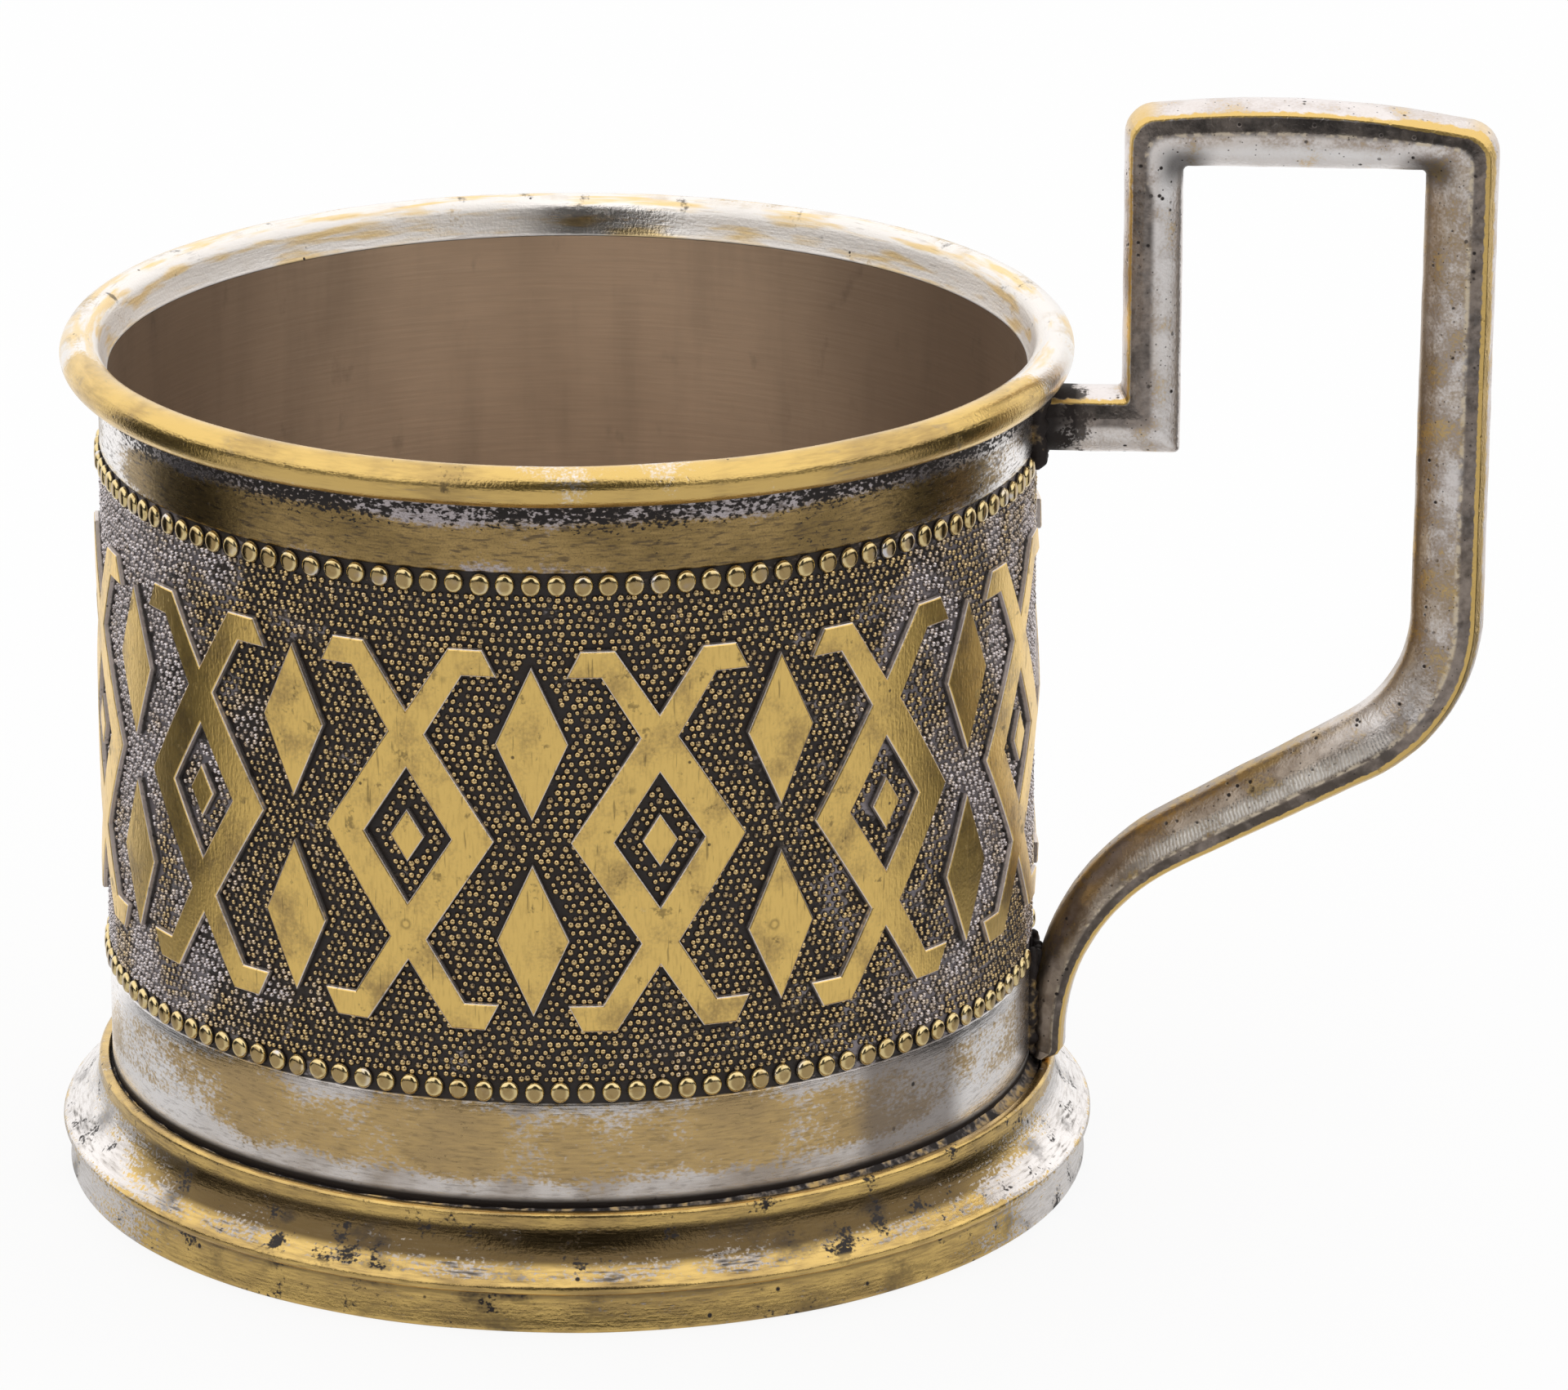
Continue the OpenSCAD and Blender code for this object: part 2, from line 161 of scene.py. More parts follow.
def settle(name, mesh, nodes, materials, sharp_angle=35.0):
    """Makes a piece of the mesh, gives it its finishes and lets it ride on the holder's body."""
    mesh.name = name
    piece = bpy.data.objects.new(name, mesh)
    bpy.context.scene.collection.objects.link(piece)
    mesh.shade_smooth()
    mesh.set_sharp_from_angle(angle=math.radians(sharp_angle))
    for material in materials:
        mesh.materials.append(material)
    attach(piece, "root")
    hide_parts(*nodes)


def plain_mesh(bm):
    """Turns a bmesh into a mesh and frees it."""
    mesh = bpy.data.meshes.new("mesh")
    bm.to_mesh(mesh)
    bm.free()
    return mesh


def mesh_of(bm):
    """Merges a bmesh's doubles, points its faces outwards and returns it as a mesh."""
    bmesh.ops.remove_doubles(bm, verts=bm.verts, dist=MERGE)
    bmesh.ops.recalc_face_normals(bm, faces=bm.faces)
    return plain_mesh(bm)


def only(parts, kind):
    """The parts of a bmesh operator's result that are of one kind."""
    return [part for part in parts if isinstance(part, kind)]


def slice_up(bm, places, normal, **settings):
    """Cuts the bmesh along a plane through each place and returns the last cut's parts."""
    for place in places:
        cut = bmesh.ops.bisect_plane(
            bm, geom=bm.verts[:] + bm.edges[:] + bm.faces[:], plane_co=place, plane_no=normal,
            **settings)
    return cut["geom_cut"]


def spun(outline, steps, start=0.0, turn=math.tau):
    """Bmesh that a closed outline of (radius, height) points makes when it turns about Z."""
    bm = bmesh.new()
    verts = [bm.verts.new((r * math.cos(start), r * math.sin(start), z)) for r, z in outline]
    edges = [bm.edges.new((a, b)) for a, b in zip(verts, verts[1:] + verts[:1])]
    full = turn >= math.tau
    ends = bmesh.ops.spin(
        bm, geom=verts + edges, axis=(0, 0, 1), cent=(0, 0, 0), angle=turn, steps=steps,
        use_merge=full)
    if not full:
        bm.faces.new(verts)
        bm.faces.new(only(ends["geom_last"], bmesh.types.BMVert))
    return bm


def arc(centre, radius, first, last, steps):
    """Points of an arc between two angles in degrees."""
    return [
        (centre[0] + radius * math.cos(math.radians(first + (last - first) * i / steps)),
         centre[1] + radius * math.sin(math.radians(first + (last - first) * i / steps)))
        for i in range(steps + 1)]


def spread(start, end, parts):
    """Values that divide the way from start to end, both of them left out, into equal parts."""
    return [start + (end - start) * i / parts for i in range(1, parts)]


def rounded(a, b, c, radius, steps):
    """Points of the arc that rounds the corner b of the path a, b, c."""
    a, b, c = Vector(a), Vector(b), Vector(c)
    u, v = (a - b).normalized(), (c - b).normalized()
    half = u.angle(v) / 2
    mid = b + (u + v).normalized() * radius / math.sin(half)
    p, q = b + u * radius / math.tan(half) - mid, b + v * radius / math.tan(half) - mid
    sweep = p.angle(q)
    points = []
    for i in range(steps + 1):
        t = i / steps
        points.append(
            mid + (p * math.sin((1 - t) * sweep) + q * math.sin(t * sweep)) / math.sin(sweep))
    return points


def smoothed(corners, steps):
    """Outline with each corner (r, z, radius) rounded, or left sharp where the radius is 0."""
    points = []
    for i, (r, z, radius) in enumerate(corners):
        if radius:
            before, after = corners[i - 1][:2], corners[(i + 1) % len(corners)][:2]
            points += [tuple(p) for p in rounded(before, (r, z), after, radius, steps)]
        else:
            points.append((r, z))
    return points


def wander(bm, amount, size, seed=0.0):
    """Moves each vertex a little along its normal by smooth noise, as hand work leaves it."""
    bm.normal_update()
    for vert in bm.verts:
        lift = noise.noise(vert.co / size + Vector((seed, seed, seed)))
        vert.co += vert.normal * lift * amount


def applied(mesh, *modifiers):
    """The mesh with modifiers applied in order, each given as its type and its settings."""
    carrier = bpy.data.objects.new("carrier", mesh)
    bpy.context.scene.collection.objects.link(carrier)
    for kind, settings in modifiers:
        added = carrier.modifiers.new(kind.lower(), kind)
        for key, value in settings.items():
            setattr(added, key, value)
    graph = bpy.context.evaluated_depsgraph_get()
    made = bpy.data.meshes.new_from_object(carrier.evaluated_get(graph))
    bpy.data.objects.remove(carrier)
    return made


def copies(template, count):
    """Mesh that holds the template's mesh count times, one copy after the other."""
    return applied(template, ("ARRAY", {
        "count": count, "use_relative_offset": False, "use_merge_vertices": False}))


def corners_of(mesh):
    """The mesh's vertices as an array of points."""
    points = np.empty(len(mesh.vertices) * 3, np.float32)
    mesh.vertices.foreach_get("co", points)
    return points.reshape(-1, 3).astype(float)


def laid_round(mesh, points, radius):
    """The mesh, its vertices put at points of (along, outwards, up) round the sleeve."""
    angle = points[..., 0] / SLEEVE_R
    reach = radius + points[..., 1]
    places = np.stack([reach * np.cos(angle), reach * np.sin(angle), points[..., 2]], axis=-1)
    mesh.vertices.foreach_set("co", places.astype(np.float32).ravel())
    mesh.flip_normals()  # along, outwards, up is left-handed, so the faces point inwards here
    mesh.update()
    return mesh


def scattered(template, places, radius):
    """Mesh of one template copy at each place: (along, up, width, depth, height, turn)."""
    shape = corners_of(template)
    along, up, width, depth, height, turn = (places[:, i, None] for i in range(6))
    x, y, z = shape[:, 0] * width, shape[:, 1] * depth, shape[:, 2] * height
    points = np.stack(
        [along + x * np.cos(turn) - z * np.sin(turn), y + 0 * x,
         up + x * np.sin(turn) + z * np.cos(turn)], axis=-1)
    return laid_round(copies(template, len(places)), points, radius)


def dome(segments, rings, flatness=0.0):
    """Half ball of radius 1 that bulges towards +Y, closed by a flat base.

    A flatness over 0 gives it a flatter top and steeper sides.
    """
    bm = bmesh.new()
    bmesh.ops.create_uvsphere(bm, u_segments=segments, v_segments=rings, radius=1)
    bmesh.ops.rotate(bm, verts=bm.verts, matrix=Matrix.Rotation(-math.pi / 2, 3, "X"))
    cut = slice_up(bm, [(0, 0, 0)], (0, 1, 0), dist=1e-4, clear_inner=True)
    bmesh.ops.holes_fill(bm, edges=only(cut, bmesh.types.BMEdge), sides=0)
    for vertex in bm.verts:
        x, y, z = vertex.co
        reach = math.hypot(x, z)
        if flatness and 0 < y and 0 < reach:
            widening = reach ** -flatness
            vertex.co = (x * widening, y ** (1 - flatness), z * widening)
    bmesh.ops.recalc_face_normals(bm, faces=bm.faces)
    return plain_mesh(bm)


# Node trees

class Wire:
    """A node's output. Arithmetic on it adds Math nodes."""

    def __init__(self, bench, socket):
        self.bench, self.socket = bench, socket

    def __add__(self, other):
        return self.bench.maths("ADD", self, other)

    __radd__ = __add__

    def __sub__(self, other):
        return self.bench.maths("SUBTRACT", self, other)

    def __rsub__(self, other):
        return self.bench.maths("SUBTRACT", other, self)

    def __mul__(self, other):
        return self.bench.maths("MULTIPLY", self, other)

    __rmul__ = __mul__


class Bench:
    """The node tree of a material or of the world."""

    def __init__(self, tree):
        self.tree = tree
        tree.nodes.clear()

    def node(self, kind, settings=None, sockets=None):
        """Adds a node: its settings come first, then its sockets' values or links."""
        made = self.tree.nodes.new(kind)
        for key, value in (settings or {}).items():
            setattr(made, key, value)
        for key, value in (sockets or {}).items():
            if isinstance(value, Wire):
                self.tree.links.new(value.socket, made.inputs[key])
            else:
                made.inputs[key].default_value = value
        return made

    def out(self, made, key=0):
        return Wire(self, made.outputs[key])

    def maths(self, operation, *values, clamp=False):
        made = self.node(
            "ShaderNodeMath", {"operation": operation, "use_clamp": clamp},
            dict(enumerate(values)))
        return self.out(made)

    def vector(self, operation, a, b=(0, 0, 0)):
        made = self.node("ShaderNodeVectorMath", {"operation": operation}, {0: a, 1: b})
        return self.out(made, "Value" if operation in ("LENGTH", "DOT_PRODUCT") else "Vector")

    def step(self, value, low, high):
        """0 below low and 1 above high, smooth between; low may be the larger one."""
        made = self.node(
            "ShaderNodeMapRange", {"interpolation_type": "SMOOTHSTEP"},
            {"Value": value, "From Min": low, "From Max": high})
        return self.out(made)

    def clamped(self, value):
        """The value, kept between 0 and 1."""
        return self.maths("ADD", value, 0.0, clamp=True)

    def band(self, value, rise, fall):
        """1 between rise and fall, each of them a pair: where it is 0 and where it is 1."""
        return self.step(value, *rise) * self.step(value, *fall)

    def tone(self, factor, a, b):
        """Mix of two colours, each of them (r, g, b) or a wire."""
        a, b = (c if isinstance(c, Wire) else tuple(c) + (1,) for c in (a, b))
        made = self.node("ShaderNodeMix", {"data_type": "RGBA"}, {0: factor, 6: a, 7: b})
        return self.out(made, 2)


class Metal(Bench):
    """A metal finish, with the places that its patterns read."""

    def __init__(self, name):
        self.material = bpy.data.materials.new(name)
        self.material.use_nodes = True
        super().__init__(self.material.node_tree)
        self.colours = finish()
        coordinates = self.node("ShaderNodeTexCoord")
        self.mm = self.vector("MULTIPLY", self.out(coordinates, "Object"), (1 / MM,) * 3)
        split = self.node("ShaderNodeSeparateXYZ", None, {0: self.mm})
        self.x, self.y, self.z = (self.out(split, i) for i in range(3))
        self.height = self.z - TABLE_Z / MM
        self.radius = self.vector("LENGTH", self.vector("MULTIPLY", self.mm, (1, 1, 0)))

    def around(self, reach=0.14):
        """Places that draw a pattern out round the axis."""
        made = self.node(
            "ShaderNodeCombineXYZ", None,
            {0: self.x * reach, 1: self.y * reach, 2: self.radius + 0.7 * self.height})
        return self.out(made)

    def noise(self, size, detail=2.0, stretch=(1, 1, 1), place=None):
        """Noise round 0.5 whose features are about size millimetres across."""
        scaled = self.vector("MULTIPLY", place or self.mm, tuple(s / size for s in stretch))
        made = self.node(
            "ShaderNodeTexNoise", None, {"Vector": scaled, "Scale": 1.0, "Detail": detail})
        return self.out(made)

    def pits(self, pitch, share, size_share=0.3):
        """Dots on a share of the cells of a Voronoi pattern, pitch millimetres apart."""
        scaled = self.vector("MULTIPLY", self.mm, (1 / pitch,) * 3)
        made = self.node("ShaderNodeTexVoronoi", None, {"Vector": scaled, "Scale": 1.0})
        chance = self.out(self.node(
            "ShaderNodeSeparateColor", None, {"Color": self.out(made, "Color")}))
        dot = self.step(self.out(made, "Distance"), size_share, size_share * 0.5)
        return dot * self.step(chance, share, share - 0.02)

    def attribute(self, name):
        made = self.node("ShaderNodeAttribute", {"attribute_name": name})
        return self.out(made, "Fac")

    def beyond(self, low, high, middle=0.0):
        """0 within low of the plane x = middle and 1 beyond high, or the other way round."""
        return self.step(self.maths("ABSOLUTE", self.x - middle), low, high)

    def cast(self, base, roughness, lift, darkening=0.0, bump=0.02, metallic=1.0):
        """Joins the parts of the finish and returns it; bump is a full lift's height in mm."""
        # Darkening tones towards patina: tarnish and dirt, and in the foot and handle painted shade
        # as well
        base = self.tone(darkening, base, self.colours.patina)
        relief = self.node(
            "ShaderNodeBump", None,
            {"Strength": 1.0, "Distance": bump * MM, "Height": lift})
        surface = self.node(
            "ShaderNodeBsdfPrincipled", None,
            {"Base Color": base, "Metallic": metallic * (1 - 0.75 * darkening),
             "Roughness": self.clamped(roughness + 0.25 * darkening),
             "Normal": self.out(relief)})
        self.node("ShaderNodeOutputMaterial", None, {"Surface": self.out(surface)})
        return self.material


# Finishes

# Colours of the sleeve
PALE_BRASS = (0.68, 0.47, 0.20)
DULL_BRASS = (0.50, 0.35, 0.17)
WARM_PLATE = (0.80, 0.74, 0.70)
CLOUDED_PLATE = (0.47, 0.40, 0.34)
NECK_PLATE = (0.55, 0.49, 0.50)
SIDE_SHEEN_PLATE = (1.0, 0.96, 0.94)
BRUSH_LINE = (0.10, 0.075, 0.055)
PEPPER = (0.12, 0.085, 0.05)
PAINTED_REFLECTION_GREY = (0.20, 0.165, 0.145)
LILAC_SILVER = (0.60, 0.54, 0.58)
LINING_LINE = (0.3, 0.2, 0.13)
LINING_SHADE = (0.13, 0.085, 0.055)

# Colours of the beads, the stipple and the frieze
BEAD_BRASS = (0.86, 0.68, 0.34)
BEAD_DARK_REFLECTION = (0.36, 0.24, 0.10)
TIP_BRASS = (0.76, 0.55, 0.26)
TIP_PLATE = (0.76, 0.69, 0.70)
DOME_FLANK = (0.18, 0.13, 0.09)
FACE_BRASS = (0.97, 0.665, 0.21)
FACE_LINE = (0.3, 0.19, 0.07)
FACE_PALE = (0.90, 0.82, 0.74)
FACE_EDGE = (0.88, 0.83, 0.84)

# Colours of the rim and the foot
RIM_PLATE = (0.90, 0.85, 0.80)
RIM_CREAM = (0.70, 0.58, 0.44)
RIM_SHEEN_PLATE = (1.0, 0.95, 0.90)
RIM_STREAK = (0.92, 0.66, 0.28)
RIM_SCUFF = (0.3, 0.25, 0.2)
COVE_REFLECTION_BROWN = (0.11, 0.072, 0.033)
FOOT_PLATE = (0.56, 0.50, 0.45)
FOOT_SIDE_SHEEN = (0.92, 0.87, 0.84)
FOOT_LINE = (0.2, 0.14, 0.07)

# Colours of the handle
CAST_PLATE = (0.90, 0.84, 0.81)
CAST_GREY = (0.50, 0.42, 0.37)
CAST_BROWN = (0.44, 0.31, 0.17)
CROWN_PLATE = (0.82, 0.76, 0.74)
INWARD_PLATE = (1.0, 0.97, 0.96)
TAUPE = (0.66, 0.54, 0.42)
DARK_TAUPE = (0.22, 0.16, 0.11)
BLACK_SLATE = (0.06, 0.048, 0.042)
GREY_SLATE = (0.38, 0.32, 0.28)
RIDGE_BRASS = (0.80, 0.68, 0.52)
INNER_STRIP = (0.34, 0.26, 0.18)
EDGE_BRASS = (0.72, 0.5, 0.2)
SWEEP_SHADE = (0.20, 0.15, 0.11)
FILED_PLATE = (1.0, 0.95, 0.88)


def darker(colour, share):
    return [part * share for part in colour]


def smooth_bands():
    """The sleeve's outer side: worn plate on the bands, black tarnish under the frieze."""
    m = Metal("worn_plate_bands")
    sizes = sleeve_sizes()
    low, high = sizes.lower_row / MM, sizes.upper_row / MM
    top = (SLEEVE_TOP - TABLE_Z) / MM
    rows = m.band(m.height, (low - 1.0, low - 0.85), (high + 1.0, high + 0.85))
    neck = m.step(m.height, high, high + 0.5)
    side, far_side = m.beyond(15.0, 32.0), m.beyond(27.0, 33.5)
    brushed = m.noise(0.16, 3.0, (0.1, 0.1, 1.0))
    patches = m.noise(8.0, 4.0, (1.0, 1.0, 1.6))
    grains = m.noise(0.24, 3.0, (0.6, 0.6, 1.0))

    # Where the plate has worn through
    at_neck = (m.step(m.height, top - 3.0, top - 1.2)
               + 0.5 * m.step(m.height, high + 1.9, high + 1.1) + far_side)
    at_base = (m.step(m.height, 11.6, 9.2) + 0.5 * m.step(m.height, low - 2.4, low - 1.1)
               + 0.5 * side)
    plated = neck * at_neck + (1 - neck) * at_base
    brass = m.step(0.95 * patches + 0.6 * grains - 0.34 * plated + 0.14 * neck, 0.52, 0.72)

    # Brass and plate, with painted sheen at the far sides
    brown = m.step(patches + 0.5 * brushed, 0.55, 0.95)
    gold = m.tone(brown, m.colours.old_brass, darker(m.colours.old_brass, 0.6))
    gold = m.tone(neck, m.tone(brown, PALE_BRASS, DULL_BRASS), gold)
    cloudy = m.step(m.noise(5.0, 3.0) + 0.3 * brushed, 0.5, 0.9) * (1 - 0.8 * far_side)
    plate = m.tone(cloudy, WARM_PLATE, CLOUDED_PLATE)
    plate = m.tone(neck * (1 - far_side), plate, NECK_PLATE)
    # Painted sheen: the far sides of the bands and neck are painted a clean bright plate, standing
    # in for the white light they reflect
    painted_side_sheen = neck * far_side + (1 - neck) * m.beyond(20.0, 30.0)
    plate = m.tone(painted_side_sheen, plate, SIDE_SHEEN_PLATE)
    base = m.tone(brass, plate, gold)

    # Marks, and a painted dark reflection band
    lines = m.step(m.noise(0.16, 2.0, place=m.around()), 0.5, 0.72) * (0.3 + 0.45 * neck)
    base = m.tone(lines, base, BRUSH_LINE)
    pepper = m.step(m.noise(0.13, 2.0), 0.48, 0.68) * neck * 0.35
    base = m.tone(pepper, base, PEPPER)
    # Painted reflection: a grey band low on the right darkens the base where a dark reflection
    # falls
    grey = m.band(m.x, (22.2, 24.4), (31.0, 29.2)) * (1 - neck)
    base = m.tone(grey * 0.75, base, PAINTED_REFLECTION_GREY)
    lilac = m.step(m.noise(3.2, 4.0) + 0.45 * grains + 0.3 * m.beyond(12.0, 33.0), 0.87, 1.02)
    base = m.tone(rows * lilac, base, LILAC_SILVER)

    # Tarnish
    near_rim = m.step(m.height, top - 3.2, top - 1.0)
    specks = m.step(grains + 0.42 * patches + 0.3 * near_rim, 0.89, 1.0) * (0.35 + 0.65 * neck)
    specks = specks + m.pits(1.5, 0.06, 0.17)
    edges = m.step(m.height, top - 0.45, top - 0.1) + m.step(m.height, 9.3, 8.7)
    smudge = m.step(m.noise(2.6, 4.0, (0.8, 0.8, 1.2)) + 0.25 * grains, 0.82, 0.95) * 0.6
    ground = rows * (0.98 - 0.5 * lilac)
    darkening = m.clamped(ground + (specks + edges + smudge) * (1 - rows))
    return m.cast(base, 0.2 + 0.12 * brushed, brushed + 0.6 * grains, darkening)


def lining_finish():
    """The inner wall: brushed round the well, taupe, with painted shade at both sides."""
    m = Metal("brushed_lining")
    brushed = m.noise(0.3, 4.0, (0.06, 0.06, 1.0))
    clouds = m.noise(9.0, 4.0, (1.0, 1.0, 0.6))
    side = m.beyond(9.0, 33.0, middle=-3.0)
    upright = m.noise(3.4, 5.0, (1.0, 1.0, 0.16))
    base = m.tone(m.step(clouds, 0.3, 0.75), m.colours.lining, darker(m.colours.lining, 0.8))
    base = m.tone(m.step(brushed, 0.3, 0.75) * 0.12, base, LINING_LINE)
    # Painted shade: both sides of the inner wall are toned towards LINING_SHADE
    base = m.tone(0.86 * side, base, LINING_SHADE)
    smudges = (m.step(m.noise(2.4, 4.0, (1, 1, 0.5)), 0.62, 0.8) * 0.35
               + m.step(upright, 0.45, 0.75) * 0.16)
    return m.cast(base, 0.4 + 0.1 * brushed, brushed, smudges, metallic=0.12)


def bead_finish():
    """Brass beads, black where they meet the sleeve, with a painted dark reflection on each crown.
    """
    m = Metal("brass_beads")
    lift = m.radius - (SLEEVE_R - sleeve_sizes().ground_sink) / MM
    spots = m.noise(0.5, 3.0)
    base = m.tone(m.step(spots, 0.5, 0.8), BEAD_BRASS, m.colours.old_brass)
    base = m.tone(m.step(m.noise(1.6, 2.0), 0.58, 0.75), base, m.colours.silver)
    # Painted reflection: each bead's crown is darkened, standing in for the dark room mirrored in
    # it
    crown = m.step(lift + 0.06 * spots, 0.49, 0.56)
    base = m.tone(crown * 0.8, base, BEAD_DARK_REFLECTION)
    darkening = m.step(lift + 0.15 * spots, 0.36, 0.22)
    return m.cast(base, 0.12 + 0.12 * spots, spots, darkening)


def stipple_finish():
    """Small domes: pale brass tips at the front, plated ones at the sides, tarnish between."""
    m = Metal("stippled_ground")
    lift = m.radius - (SLEEVE_R - sleeve_sizes().ground_sink) / MM
    patches = m.noise(6.0, 4.0)
    grains = m.noise(0.3, 2.0)
    side = m.beyond(12.0, 33.0)
    right = m.step(m.x, 8.0, 20.0)
    silvered = m.step(patches + 0.25 * grains + 0.36 * side - 0.1 * right, 0.74, 0.96)
    base = m.tone(silvered, TIP_BRASS, TIP_PLATE)
    flank = m.step(lift, 0.2, 0.12)
    base = m.tone(flank * (1 - 0.4 * silvered), base, DOME_FLANK)
    depth = 0.065 + 0.09 * grains - 0.04 * silvered
    darkening = m.step(lift - depth, 0.045, -0.045) * (0.98 - 0.3 * silvered)
    return m.cast(base, 0.1 + 0.16 * grains, grains, darkening)


def frieze_finish():
    """Raised work: brass faces, pale plated edges brightened as a painted highlight, dark sides."""
    m = Metal("raised_brass")
    lift = m.radius - SLEEVE_R / MM
    relief = frieze_sizes().relief / MM
    brushed = m.noise(0.2, 3.0, (1.0, 1.0, 0.18))
    clouds = m.noise(3.5, 4.0)
    grains = m.noise(0.25, 2.0)
    base = m.tone(m.step(clouds + 0.3 * grains, 0.6, 0.95), FACE_BRASS, m.colours.old_brass)
    base = m.tone(m.step(brushed, 0.45, 0.75) * 0.2, base, FACE_LINE)
    base = m.tone(m.step(clouds + 0.3 * grains, 0.42, 0.3) * 0.6, base, FACE_PALE)
    # Painted highlight: the narrow sloping edges get pale plate and more roughness, so that they
    # show as bright lines
    edge = m.step(lift, relief - 0.03, relief - 0.08)
    base = m.tone(edge * 0.85, base, FACE_EDGE)
    darkening = m.step(lift + 0.15 * grains, 0.3, 0.12) * 0.9
    rings = m.pits(3.4, 0.3, 0.16) - m.pits(3.4, 0.3, 0.1)
    scratch = m.step(m.noise(0.3, 2.0, (1.0, 1.0, 0.1)), 0.64, 0.74) * 0.45
    stain = m.step(m.noise(1.3, 4.0) + 0.3 * grains, 0.78, 0.9) * 0.5
    spots = m.pits(1.4, 0.1, 0.12) * 0.8 + 0.45 * rings + scratch + stain
    return m.cast(base, 0.24 + 0.14 * brushed + 0.12 * edge, brushed + grains, darkening + spots)


def rim_finish():
    """The rolled rim: bare brass at the front, plate with fine pits elsewhere, a painted reflection
    on the inner flank.
    """
    m = Metal("rolled_rim")
    brushed = m.noise(0.18, 3.0, (0.12, 0.12, 1.0))
    grains = m.noise(0.25, 2.0)
    patches = m.noise(8.0, 3.0)
    front = m.step(m.y, -4.0, -20.0)
    outer = m.step(m.radius, 35.6, 36.6)
    brass = m.step(patches + 0.3 * grains + 0.34 * front + 0.1 * outer, 0.76, 0.92)
    gold = m.tone(m.step(patches + 0.3 * brushed, 0.55, 0.9), m.colours.brass, m.colours.old_brass)
    cream = m.step(m.noise(3.0, 4.0), 0.5, 0.8)
    plate = m.tone(cream, RIM_PLATE, RIM_CREAM)
    # Painted reflection: the inner flank is painted pale, rougher and less metallic so that it
    # looks lit by the ceiling; a patch at the middle front keeps full metal so that the dark room
    # shows there
    flank = m.step(m.radius, 35.7, 35.2) * (1 - front)
    dark_reflection_patch = m.beyond(10.0, 2.5, middle=1.0)
    plate = m.tone(flank * 0.85, plate, RIM_SHEEN_PLATE)
    base = m.tone(brass, plate, gold)
    ring = m.around()
    streak = m.step(m.noise(0.9, 3.0, place=ring) + 0.25 * patches, 0.6, 0.8) * (1 - front)
    base = m.tone(streak * 0.85, base, RIM_STREAK)
    scuffs = m.step(m.noise(0.3, 3.0, place=ring), 0.6, 0.7) * m.step(patches, 0.42, 0.6) * 0.35
    base = m.tone(scuffs, base, RIM_SCUFF)
    flank = flank * (1 - dark_reflection_patch)
    spots = m.pits(0.7, 0.1, 0.2) * m.step(m.noise(4.0, 2.0), 0.5, 0.62)
    smear = m.step(m.noise(2.4, 4.0) + 0.2 * grains, 0.78, 0.88) * 0.7
    beneath = m.step(m.height, 62.6, 62.35) * m.step(m.radius, 36.6, 35.9)
    return m.cast(base, 0.17 + 0.14 * brushed + 0.2 * flank, brushed + grains,
                  spots + smear + beneath, metallic=1 - 0.42 * flank)


def foot_finish():
    """The foot: brass edges, streaks of plate on the crest's shoulder, painted reflection in the
    cove, painted sheen at the sides, painted shade under the crest.
    """
    m = Metal("stepped_foot")
    brushed = m.noise(0.18, 3.0, (0.1, 0.1, 1.0))
    grains = m.noise(0.22, 2.0, (0.7, 0.7, 1.0))
    patches = m.noise(6.0, 4.0, (1, 1, 1.8))
    side = m.step(m.x, 29.0, 38.0) + m.step(m.x, -25.0, -36.0)
    shoulder = m.band(m.height, (3.8, 4.15), (5.6, 4.7))
    lip_side = m.step(m.height, 7.1, 7.6)
    crest = m.band(m.height, (2.9, 3.2), (4.15, 3.9))
    cove = m.band(m.height, (4.6, 5.2), (7.5, 7.0))
    silver = m.step(
        0.5 * patches + 0.6 * grains + 0.45 * brushed + 0.14 * shoulder + 0.34 * side
        - 0.25 * lip_side - 0.1 * crest, 0.9, 1.06)
    gold = m.tone(m.step(patches + 0.4 * brushed, 0.5, 0.95), m.colours.brass, m.colours.old_brass)
    # Painted reflection: the cove is painted dark brown, standing in for the dark room that it
    # reflects
    gold = m.tone(0.95 * cove * (1 - side), gold, COVE_REFLECTION_BROWN)
    # Painted sheen: the foot's left and right sides are painted bright plate for the white light
    # they reflect
    plate = m.tone(side, FOOT_PLATE, FOOT_SIDE_SHEEN)
    base = m.tone(silver, gold, plate)
    base = m.tone(m.step(brushed, 0.4, 0.75) * 0.35, base, FOOT_LINE)
    cluster = m.step(m.noise(2.6, 3.0) + 0.45 * grains, 0.84, 0.95)
    streak = m.step(0.6 * brushed + 0.5 * patches, 0.6, 0.76) * shoulder * 0.75
    smudge = m.step(m.noise(5.0, 3.0, (1, 1, 1.5)) + 0.15 * grains, 0.62, 0.8) * (
        1 - lip_side) * (1 - crest) * 0.6
    groove = m.step(m.radius, 35.95, 35.7) * m.step(m.height, 8.45, 8.1)
    # Painted shade: the band just under the crest is darkened where the crest shades it
    shade_under_crest = m.band(m.height, (2.3, 2.8), (3.12, 2.9)) * 0.5
    darkening = (cluster * (1 - 0.7 * crest) + streak + smudge + groove + shade_under_crest
            + m.pits(1.6, 0.1, 0.15))
    return m.cast(base, 0.18 + 0.14 * brushed, brushed + grains, m.clamped(darkening))


